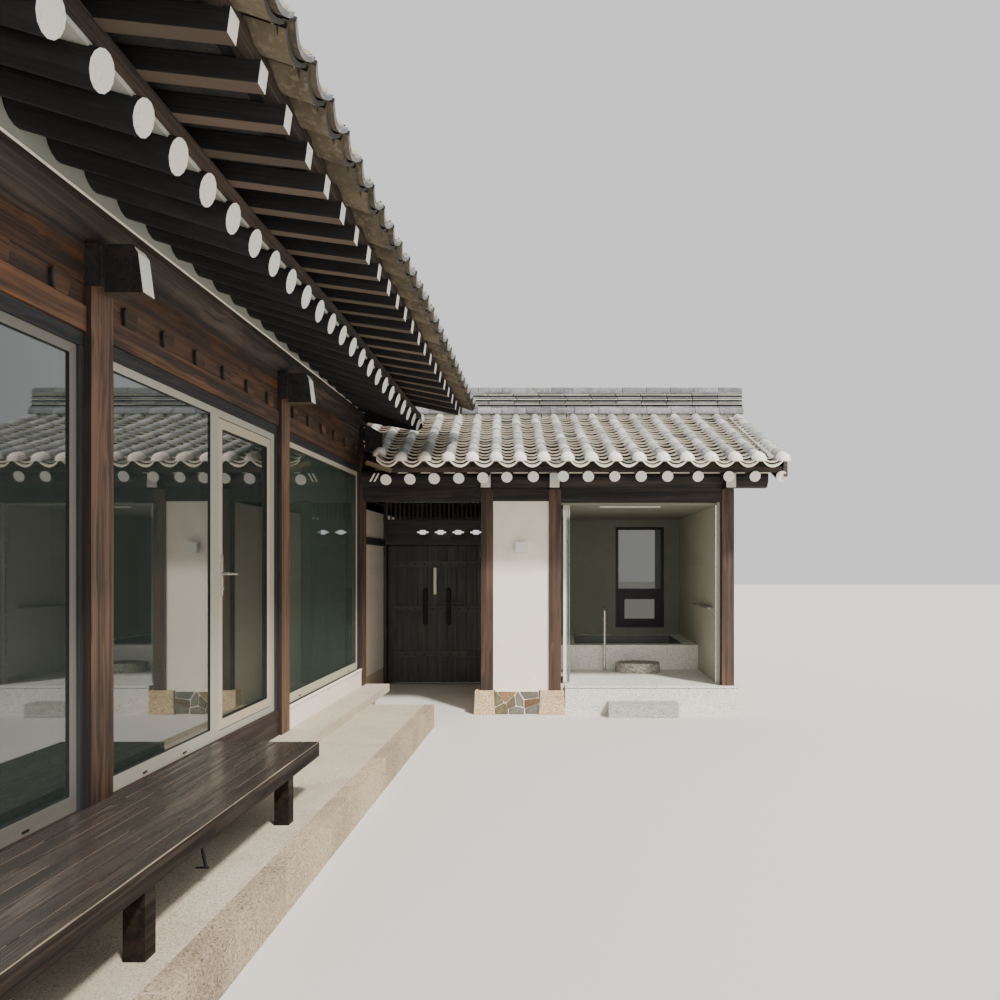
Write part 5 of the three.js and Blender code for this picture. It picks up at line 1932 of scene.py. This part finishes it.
@dataclass
class GateFrame:
    """Sill, jambs and head of the gate, with the pierced board and the barred light over it."""

    x: Span = (-2.3397, -0.8428)
    y: Span = (10.94, 11.03)
    half_opening: float = 0.663
    seam: float = -1.636
    sill: float = 0.008
    head: Span = (1.82, 1.89)
    board: Span = (1.89, 2.12)
    light: Span = (2.15, 2.38)
    top: float = 2.44
    bar_pitch: float = 0.059
    first_cloud: float = -1.83
    cloud_pitch: float = 0.233
    clouds: int = 4
    cloud_z: float = 1.985
    cloud_half: Span = (0.077, 0.031)
    stop_y: Span = (11.0235, 11.033)
    stop: float = 0.03

    def build(self) -> None:
        """Build the frame."""
        shape = Shape("gate_surround")
        wood = "gate_wood"
        low, high = self.seam - self.half_opening, self.seam + self.half_opening
        head = self.head[0]
        shape.block((low, high), self.y, (0.0, self.sill), wood, Axis.X)
        for span in ((self.x[0], low), (high, self.x[1])):
            shape.block(span, self.y, (0.0, self.top), wood, Axis.Z)
        for z in (self.head, (self.board[1], self.light[0]), (self.light[1], self.top)):
            shape.block((low, high), self.y, z, wood, Axis.X)
        self.pierced(shape, (low, high))
        for span in ((low - 0.01, low + self.stop), (high - self.stop, high + 0.01)):
            shape.block(span, self.stop_y, (self.sill, head), wood, Axis.Z)
        shape.block((low - 0.01, high + 0.01), self.stop_y, (head - self.stop, head + 0.01), wood, Axis.X)
        for x in steps(low + 0.05, high - 0.05, self.bar_pitch):
            bar = ((x - 0.009, x + 0.009), (self.y[0] + 0.03, self.y[1] - 0.03))
            shape.block(*bar, self.light, wood, Axis.Z)
        shape.build(replaces=["gate_frame"], slot="dark_timber", bevel=0.003)

    @staticmethod
    def cloud() -> list[Span]:
        """The outline of a cloud opening, as shares of its half width and half height.

        Returns:
            Its corners.
        """
        upper = [(0.96, 0.3), (0.76, 0.34), (0.56, 0.36), (0.5, 0.8), (0.34, 1.0), (0.1, 0.92)]
        upper += [(-u, v) for u, v in reversed(upper)]
        return [(1.0, 0.0), *upper, (-1.0, 0.0), *((u, -v) for u, v in reversed(upper))]

    def pierced(self, shape: Shape, span: Span) -> None:
        """The board with its cloud openings.

        Args:
            shape: The piece that is added to.
            span: Its ends.
        """
        depth = (self.y[0] + 0.02, self.y[1] - 0.03)
        z0, z1 = self.board
        centres = [self.first_cloud + self.cloud_pitch * i for i in range(self.clouds)]
        cuts = [span[0]] + [(a + b) / 2 for a, b in zip(centres, centres[1:])] + [span[1]]
        for middle, a, b in zip(centres, cuts, cuts[1:]):
            hole, rim = [], []
            for u, v in self.cloud():
                dx, dz = self.cloud_half[0] * u, self.cloud_half[1] * v
                hole.append((middle + dx, self.cloud_z + dz))
                reach = min(
                    ((b if dx > 0 else a) - middle) / dx if abs(dx) > 1e-6 else 9.0,
                    ((z1 if dz > 0 else z0) - self.cloud_z) / dz if abs(dz) > 1e-6 else 9.0,
                )
                rim.append((middle + dx * reach, self.cloud_z + dz * reach))
            n = len(hole)
            faces = []
            for i in range(n):
                j = (i + 1) % n
                faces.append((i, j, n + j, n + i))
                faces.append((2 * n + i, 3 * n + i, 3 * n + j, 2 * n + j))
                faces.append((i, 2 * n + i, 2 * n + j, j))
            points = [(x, y, z) for y in depth for x, z in hole + rim]
            shape.add(points, faces, "gate_wood", Axis.X.vector, 0.5)
            for x in (a, b):
                shape.block((x - 0.0005, x + 0.0005), depth, self.board, "gate_wood", Axis.Z, 0.5)
            self.corners(shape, (a, b), depth, rim)

    def corners(self, shape: Shape, x: Span, y: Span, rim: Sequence[Span]) -> None:
        """Fill the corners that the ring round a cloud leaves open.

        Args:
            shape: The piece that is added to.
            x: Ends of the panel.
            y: Front and back of the board.
            rim: The ring's outer points.
        """
        for cx, cz in ((cx, cz) for cx in x for cz in self.board):
            side = [p for p in rim if abs(p[0] - cx) < 1e-6]
            flat = [p for p in rim if abs(p[1] - cz) < 1e-6]
            if side and flat:
                a = min(side, key=lambda p: abs(p[1] - cz))
                b = min(flat, key=lambda p: abs(p[0] - cx))
                shape.prism([a, (cx, cz), b], y, Axis.Y, "gate_wood", 0.5)


@dataclass
class PanelBase:
    """Two dressed blocks with coursed rubble between them."""

    blocks: tuple[Span, ...] = ((-0.917, -0.697), (-0.241, 0.033))
    y: Span = (8.665, 8.83)
    top: float = 0.25
    rubble_x: Span = (-0.697, -0.241)
    rubble_y: Span = (8.69, 8.8)
    rubble_top: float = 0.239
    rubble_rows: tuple[int, ...] = (3, 4, 2)
    stones: tuple[str, ...] = ("rubble_stone", "rubble_grey", "rubble_olive")

    def build(self) -> None:
        """Build the blocks and the stones."""
        shape = Shape("panel_base_stones")
        near, far = self.y
        for a, b in self.blocks:
            foot = [(a, near), (b, near), (b, far), (a, far)]
            head = [(a + 0.012, near + 0.01), (b - 0.012, near + 0.01), (b - 0.012, far), (a + 0.012, far)]
            rings = [[(u, v, z) for u, v in ring] for ring, z in ((foot, 0.0), (head, self.top))]
            shape.loft(rings, "base_granite", Axis.X.vector)
        shape.build(replaces=["panel_base"], slot="granite", bevel=0.006)
        mortar = Shape("panel_base_mortar")
        depth = (self.rubble_y[0] + 0.008, self.rubble_y[1])
        mortar.block(self.rubble_x, depth, (0.0, self.rubble_top), "tile_mortar")
        mortar.build(slot="granite")
        self.rubble()

    @staticmethod
    def clip(polygon: list[Span], near: Span, far: Span) -> list[Span]:
        """The part of a polygon that lies closer to one point than to another.

        Args:
            polygon: Its corners.
            near: The point it belongs to.
            far: The other point.

        Returns:
            The corners that are left.
        """
        normal = (far[0] - near[0], far[1] - near[1])
        limit = sum(n * (a + b) / 2 for n, a, b in zip(normal, near, far))
        reach = [normal[0] * u + normal[1] * v - limit for u, v in polygon]
        kept = []
        for p, d, q, e in zip(polygon, reach, polygon[1:] + polygon[:1], reach[1:] + reach[:1]):
            if d <= 0:
                kept.append(p)
            if d * e < 0:
                share = d / (d - e)
                kept.append((p[0] + (q[0] - p[0]) * share, p[1] + (q[1] - p[1]) * share))
        return kept

    def rubble(self) -> None:
        """Broken stones fitted together, with pale joints."""
        shape = Shape("panel_base_rubble", 3)
        (x0, x1), z1 = self.rubble_x, self.rubble_top
        seeds = []
        for row, count in enumerate(self.rubble_rows):
            for i in range(count):
                u = x0 + (x1 - x0) * (i + 0.5 + shape.dice.uniform(-0.42, 0.42)) / count
                seeds.append((u, z1 * (row + 0.5 + shape.dice.uniform(-0.45, 0.45)) / 3))
        for seed in seeds:
            cell = [(x0, 0.0), (x1, 0.0), (x1, z1), (x0, z1)]
            for other in seeds:
                if other != seed:
                    cell = self.clip(cell, seed, other)
            self.stone(shape, cell, shape.dice.choice(self.stones))
        shape.build(slot="granite", bevel=0.002)

    def stone(self, shape: Shape, cell: list[Span], finish: str) -> None:
        """One stone with chipped corners and a bulging face.

        Args:
            shape: The piece that is added to.
            cell: The outline it fills, joints included.
            finish: Its finish.
        """
        mu, mv = (sum(p[k] for p in cell) / len(cell) for k in (0, 1))
        outline = []
        for p, q in zip(cell, cell[1:] + cell[:1]):
            for share in (0.08, 0.92):
                u, v = p[0] + (q[0] - p[0]) * share, p[1] + (q[1] - p[1]) * share
                shrunk = 1.0 - 0.0035 / max(math.hypot(u - mu, v - mv), 0.01)
                outline.append((mu + (u - mu) * shrunk, mv + (v - mv) * shrunk))
        front = self.rubble_y[0] - shape.dice.uniform(-0.004, 0.004)
        rings = [[(u, y, v) for u, v in outline] for y in (self.rubble_y[0] + 0.03, front + 0.006)]
        rings.append([(mu + (u - mu) * 0.88, front, mv + (v - mv) * 0.86) for u, v in outline])
        shape.loft(rings, finish, Axis.Y.vector)


# Bath bay


@dataclass
class BathWindow:
    """Black window in the rear wall: a tall light over a low one."""

    x: Span = (0.7483, 1.4267)
    z: Span = (0.6843, 2.0867)
    y: Span = (11.7, 11.76)
    pane_y: Span = (11.726, 11.738)
    stile: float = 0.042
    upper: Span = (1.224, 2.047)
    lower: Span = (0.802, 1.076)
    lower_stile: float = 0.128

    def build(self) -> None:
        """Build the frame, the lower sash and the glass."""
        shape, glass = Shape("bath_window_frame"), Shape("bath_window_glass")
        black = "black_metal"
        (x0, x1), (z0, z1) = self.x, self.z
        inside = (x0 + self.stile, x1 - self.stile)
        light = (x0 + self.lower_stile, x1 - self.lower_stile)
        top, foot = self.upper[0] - 0.05, z0 + self.stile
        sash = (self.y[0] + 0.008, self.y[1] - 0.008)
        for span in ((x0, inside[0]), (inside[1], x1)):
            shape.block(span, self.y, self.z, black, Axis.Z)
        for span in ((z0, foot), (top, self.upper[0]), (self.upper[1], z1)):
            shape.block(inside, self.y, span, black, Axis.X)
        for span in ((inside[0], light[0]), (light[1], inside[1])):
            shape.block(span, sash, (foot, top), black, Axis.Z)
        for span in ((foot, self.lower[0]), (self.lower[1], top)):
            shape.block(light, sash, span, black, Axis.X)
        for x, z in ((inside, self.upper), (light, self.lower)):
            glass.block(x, self.pane_y, z, "rear_glass")
        shape.build(replaces=["bath_window"], slot="dark_metal", bevel=0.002)
        glass.build(slot="glass")


@dataclass
class FoldingGlass:
    """Glass leaves folded together beside the white panel, with their channel and clamps."""

    x: Span = (0.012, 0.082)
    y: Span = (8.85, 9.4)
    z: Span = (0.297, 2.1897)
    leaves: int = 4
    thick: float = 0.01
    clamp: float = 0.075
    channel: Span = (0.014, 0.046)

    def build(self) -> None:
        """Build the leaves and their fittings."""
        glass, metal = Shape("folding_glass_leaves"), Shape("folding_glass_fittings")
        steel = "handle_steel"
        foot, head = self.z[0] + 0.02, self.z[1] - 0.05
        pitch = (self.x[1] - self.x[0] - self.thick) / (self.leaves - 1)
        for i in range(self.leaves):
            low = self.x[0] + pitch * i
            glass.block((low, low + self.thick), self.y, (foot, head), "bath_glass", Axis.Z)
            for z in (foot, head - self.clamp):
                for y in (self.y[0] + 0.004, self.y[1] - self.clamp - 0.004):
                    square = ((y, y + self.clamp), (z, z + self.clamp))
                    metal.block((low - 0.002, low + self.thick + 0.002), *square, steel)
        metal.block(self.x, self.y, (self.z[0], foot), steel)
        metal.block(self.x, self.y, (head, self.z[1]), "window_aluminium")
        metal.block(self.channel, (self.y[0] - 0.004, self.y[0] + 0.03), (foot, head), "lamp_white", Axis.Z)
        glass.build(replaces=["folding_glass"], slot="glass")
        metal.build(slot="steel", bevel=0.001)


@dataclass
class BathBay:
    """Basin lining, front slab, water, round step, rail, shelf, light strip, window and glass of the bath
    bay.
    """

    basin_x: Span = (0.15, 1.48)
    basin_y: Span = (10.25, 11.48)
    floor: float = 0.14
    rim: float = 0.589
    water: float = 0.5
    platform: float = 0.297
    front: Span = (10.052, 10.25)
    rail_x: float = 0.51
    rail_y: Span = (9.985, 10.165)
    rail_top: float = 1.051
    rail_bend: float = 0.07
    rail_radius: float = 0.014
    stone_at: Span = (0.89, 9.842)
    stone_half: Span = (0.265, 0.196)

    def build(self) -> None:
        """Build the bay's pieces."""
        BathWindow().build()
        FoldingGlass().build()
        self.rail()
        self.water_surface()
        self.shelf()
        self.lamp()
        self.stone_edges()
        self.round_stone()

    def rail(self) -> None:
        """The bent steel rail with its foot plates."""
        shape = Shape("bath_grab_rail")
        (near, far), bend = self.rail_y, self.rail_bend
        low = self.rail_top - bend
        arc = [(bend * (1 - math.cos(t)), low + bend * math.sin(t)) for t in steps(0.2, math.pi / 2, 0.2)]
        path = [(near, self.platform), (near, low), *((near + u, v) for u, v in arc)]
        path += [*((far - u, v) for u, v in reversed(arc)), (far, low), (far, self.rim)]
        rings = []
        side = Axis.X.vector
        for i, (y, z) in enumerate(path):
            a, b = path[max(i - 1, 0)], path[min(i + 1, len(path) - 1)]
            up = Vector((0.0, b[0] - a[0], b[1] - a[1])).normalized().cross(side)
            turns = [2 * math.pi * k / 16 for k in range(16)]
            ring = [math.cos(t) * side + math.sin(t) * up for t in turns]
            rings.append([Vector((self.rail_x, y, z)) + r * self.rail_radius for r in ring])
        shape.loft(rings, "handle_steel", Axis.Z.vector)
        for y, z in (path[0], path[-1]):
            shape.rod((self.rail_x, y, z), (self.rail_x, y, z + 0.006), 0.03, 20, "handle_steel")
        shape.build(replaces=["grab_rail"], slot="steel", smooth=40)

    def water_surface(self) -> None:
        """Still water in the basin."""
        shape = Shape("bath_water")
        (x0, x1), (y0, y1) = self.basin_x, self.basin_y
        corners = [(x, y, self.water) for x, y in ((x0, y0), (x1, y0), (x1, y1), (x0, y1))]
        shape.add(corners, [(0, 1, 2, 3)], "still_water")
        shape.build(slot="glass")

    def shelf(self) -> None:
        """The narrow steel shelf on the right wall, and the channel at the wall's edge."""
        shape = Shape("bath_shelf")
        shape.block((1.585, 1.64), (9.07, 10.2), (1.08, 1.094), "handle_steel")
        shape.block((1.624, 1.64), (8.85, 8.865), (self.platform, 2.1897), "handle_steel", Axis.Z)
        shape.build(slot="steel", bevel=0.002)

    def stone_edges(self) -> None:
        """The slab along the basin's front, the basin's lining and the joint under the platform's slab."""
        shape = Shape("bath_stone_edges")
        slab_z = (self.rim - 0.033, self.rim + 0.001)
        shape.block((-0.012, 1.6397), self.front, slab_z, "sawn_granite", Axis.X)
        (x0, x1), (y0, y1), thick = self.basin_x, self.basin_y, 0.006
        sides = (
            (self.basin_x, (y1 - thick, y1)), ((x0, x0 + thick), self.basin_y),
            ((x1 - thick, x1), self.basin_y), (self.basin_x, (y0, y0 + thick)),
        )
        for x, y in sides:
            shape.block(x, y, (self.floor, self.rim - 0.001), "basin_stone", Axis.X)
        shape.block(self.basin_x, self.basin_y, (self.floor, self.floor + thick), "basin_stone", Axis.X)
        shape.block((0.034, 1.829), (8.688, 8.692), (0.27, 0.274), "gasket_rubber", Axis.X)
        shape.build(slot="granite")

    def round_stone(self) -> None:
        """The low oval stone on the platform, with a rough side."""
        shape = Shape("bath_round_step")
        (x, y), (wide, deep) = self.stone_at, self.stone_half
        rings = []
        for z, grow in ((self.platform, 0.985), (0.33, 1.0), (0.395, 0.995), (0.411, 0.97)):
            ring = []
            for i in range(48):
                turn = 2 * math.pi * i / 48
                rough = grow * shape.dice.uniform(0.982, 1.004)
                ring.append((x + wide * math.cos(turn) * rough, y + deep * math.sin(turn) * rough, z))
            rings.append(ring)
        shape.loft(rings, "round_stone", Axis.X.vector, tone=0.5)
        shape.build(replaces=["round_step"], slot="granite", smooth=35)

    def lamp(self) -> None:
        """The slim light strip in the ceiling."""
        shape = Shape("bath_ceiling_strip")
        shape.block((0.41, 1.065), (9.03, 9.075), (2.178, 2.19), "lamp_white", Axis.X)
        shape.build(slot="dark_metal", bevel=0.002)


@dataclass
class WallLight:
    """Small box light on the white panel."""

    x: Span = (-0.486, -0.366)
    y: Span = (8.642, 8.702)
    z: Span = (1.686, 1.795)
    plate: float = 0.01

    def build(self) -> None:
        """Build the lamp's box and its back plate."""
        shape = Shape("wall_light")
        back = self.y[1] + self.plate
        shape.block(self.x, self.y, self.z, "lamp_white", Axis.Z)
        (x,), (z,) = shrink([self.x], 0.015), shrink([self.z], 0.012)
        shape.block(x, (self.y[1], back), z, "lamp_white", Axis.Z)
        shape.build(slot="aluminium", bevel=0.002)


@dataclass
class GateWing:
    """Gate, panel base, wall light, bath bay and the trim of the corner."""

    beams: tuple[float, ...] = (-0.78, -0.075, 1.73)
    beam_width: float = 0.104
    beam_z: Span = (2.346, 2.5)
    beam_end: float = 8.537
    filler: tuple[Span, ...] = ((-1.96, 2.68), (-1.79, 2.68), (-1.79, 2.865), (-1.93, 2.945), (-1.96, 2.945))
    closing: tuple[Span, ...] = ((-2.2, 3.2), (-2.2, 3.07), (-1.5, 2.952), (-1.455, 2.99), (-1.455, 3.03))

    def beam_ends(self) -> None:
        """Paint on the ends of the beam heads."""
        shape = Shape("gate_beam_ends")
        (z,) = shrink([self.beam_z], 0.003)
        depth = (self.beam_end - 0.0015, self.beam_end + 0.001)
        half = self.beam_width / 2 - 0.003
        for x in self.beams:
            shape.block((x - half, x + half), depth, z, "rafter_end_paint", Axis.X)
        shape.build(slot="timber")

    def corner(self) -> None:
        """Rail on the corner wall, and the boards and strips that close the eave in the corner."""
        shape = Shape("corner_trim")
        shape.block((-2.339, -2.32), (8.881, 10.939), (1.8, 1.89), "gate_wood")
        shape.prism(self.filler, (8.3, 8.32), Axis.Y, "board_wood")
        shape.beam((-1.868, 7.97, 2.533), (-1.63, 7.96, 2.453), (0.03, 0.042), "worn_board")
        shape.prism(self.closing, (8.7, 8.72), Axis.Y, "board_wood")
        for low in (-1.875, -1.835):
            shape.beam((low, 8.16, 2.37), (low + 0.045, 8.16, 2.45), (0.012, 0.014), "rafter_end_paint")
        shape.build(slot="timber", bevel=0.002)

    def build(self) -> None:
        """Build the low wing's joinery and stone."""
        self.beam_ends()
        self.corner()
        for part in (PanelBase(), WallLight(), GateFrame(), GateLeaf(GATE_LEFT, -1), GateLeaf(GATE_RIGHT, 1)):
            part.build()
        PullHandle().build()
        BathBay().build()


# Finishes of the solids that are shown as they are


class CadFinishes:
    """Finish and edge rounding of each CAD node that keeps its own mesh."""

    groups: tuple[tuple[str, float, str], ...] = (
        ("plinth_gravel", 0.006, "plinth stone_ledge"),
        ("panel_wood_y", 0.002, "main_floor"),
        ("post_wood", 0.008, "court_post_3 court_post_4"),
        # The near posts take painted shade over their lower parts.
        ("post_wood_damp", 0.008, "court_post_1 court_post_2"),
        ("post_wood", 0.006, "west_frame"),
        ("post_wood", 0.003, "rear_frame"),
        ("purlin_wood_y", 0.0, "court_purlin west_purlin"),
        ("white_plaster", 0.0, "gable_south gable_north south_wall north_wall west_wall corner_walls"),
        ("white_plaster", 0.0, "store_walls gate_east_gable gate_west_gable"),
        ("white_plaster", 0.002, "white_panel"),
        ("bench_wood_y", 0.003, "bench_frame"),
        ("gate_post_wood", 0.005, "gate_post_a gate_post_b gate_post_c"),
        ("fascia_wood_x", 0.003, "gate_roof_frame"),
        ("bath_plaster", 0.0, "bath_back_wall"),
        ("bath_side_plaster", 0.0, "bath_right_wall"),
        ("sawn_granite_o", 0.006, "bath_platform bath_surround"),
        ("step_granite", 0.008, "step_stone"),
        ("bath_ceiling_board", 0.0, "bath_ceiling"),
    )

    def build(self) -> None:
        """Dress the nodes that the scene keeps."""
        for finish, bevel, nodes in self.groups:
            for node in nodes.split():
                dress(node, finish, bevel)


# Picture


@dataclass(frozen=True)
class Studio:
    """Pale floor, soft light and the camera at the photograph's angle."""

    eye: tuple[float, float, float] = (0.0, 0.0, 1.555)
    lens: float = 30.06
    sensor: float = 36.0
    shift: Span = (-0.062, 0.065)
    floor: float = 60.0
    sunlight: tuple[float, float, float] = (1.0, 0.96, 0.9)

    def build(self) -> None:
        """Build the floor, world, lamps and camera."""
        self.ground()
        world = bpy.data.worlds.new("studio_world")
        world.use_nodes = True
        back = world.node_tree.nodes["Background"]
        back.inputs["Color"].default_value = paint("ebebec")
        back.inputs["Strength"].default_value = 1.15
        bpy.context.scene.world = world
        self.lamp("sun", (-0.55, 0.75, -1.0), 5.6, 6.0)
        self.lamp("front_fill", (-0.12, 1.0, -0.22), 0.55, 40.0)
        self.camera()

    def ground(self) -> None:
        """A pale floor under the house."""
        mesh = bpy.data.meshes.new("studio_floor")
        r = self.floor
        mesh.from_pydata([(-r, -r, 0), (r, -r, 0), (r, r, 0), (-r, r, 0)], [], [(0, 1, 2, 3)])
        material = bpy.data.materials.new("studio_floor")
        material.use_nodes = True
        shader = material.node_tree.nodes["Principled BSDF"]
        shader.inputs["Base Color"].default_value = paint("d9d5ce")
        shader.inputs["Roughness"].default_value = 0.9
        mesh.materials.append(material)
        floor = bpy.data.objects.new("studio_floor", mesh)
        bpy.context.scene.collection.objects.link(floor)

    def lamp(self, name: str, direction: Point, strength: float, angle: float) -> None:
        """A distant lamp.

        Args:
            name: Its name.
            direction: Where its light goes.
            strength: Its strength.
            angle: How wide it looks, in degrees: the wider, the softer its shadows.
        """
        data = bpy.data.lights.new(name, "SUN")
        data.energy = strength
        data.angle = math.radians(angle)
        data.color = self.sunlight
        lamp = bpy.data.objects.new(name, data)
        lamp.rotation_euler = Vector(direction).to_track_quat("-Z", "Y").to_euler()
        bpy.context.scene.collection.objects.link(lamp)

    def camera(self) -> None:
        """The camera, level and looking along +Y."""
        data = bpy.data.cameras.new("view")
        data.lens = self.lens
        data.sensor_width = self.sensor
        data.shift_x, data.shift_y = self.shift
        data.clip_end = 200.0
        view = bpy.data.objects.new("view", data)
        view.location = Vector(self.eye) + SHIFT
        view.rotation_euler = (math.radians(90), 0.0, 0.0)
        bpy.context.scene.collection.objects.link(view)
        bpy.context.scene.camera = view


def main() -> None:
    """Build the house in order and report each piece."""
    logging.basicConfig(level=logging.INFO, format="%(name)s %(message)s")
    for part in (MainRoof(), GateRoof(), CourtFront(), GateWing(), CadFinishes(), Studio()):
        part.build()


if __name__ == "__main__":
    main()
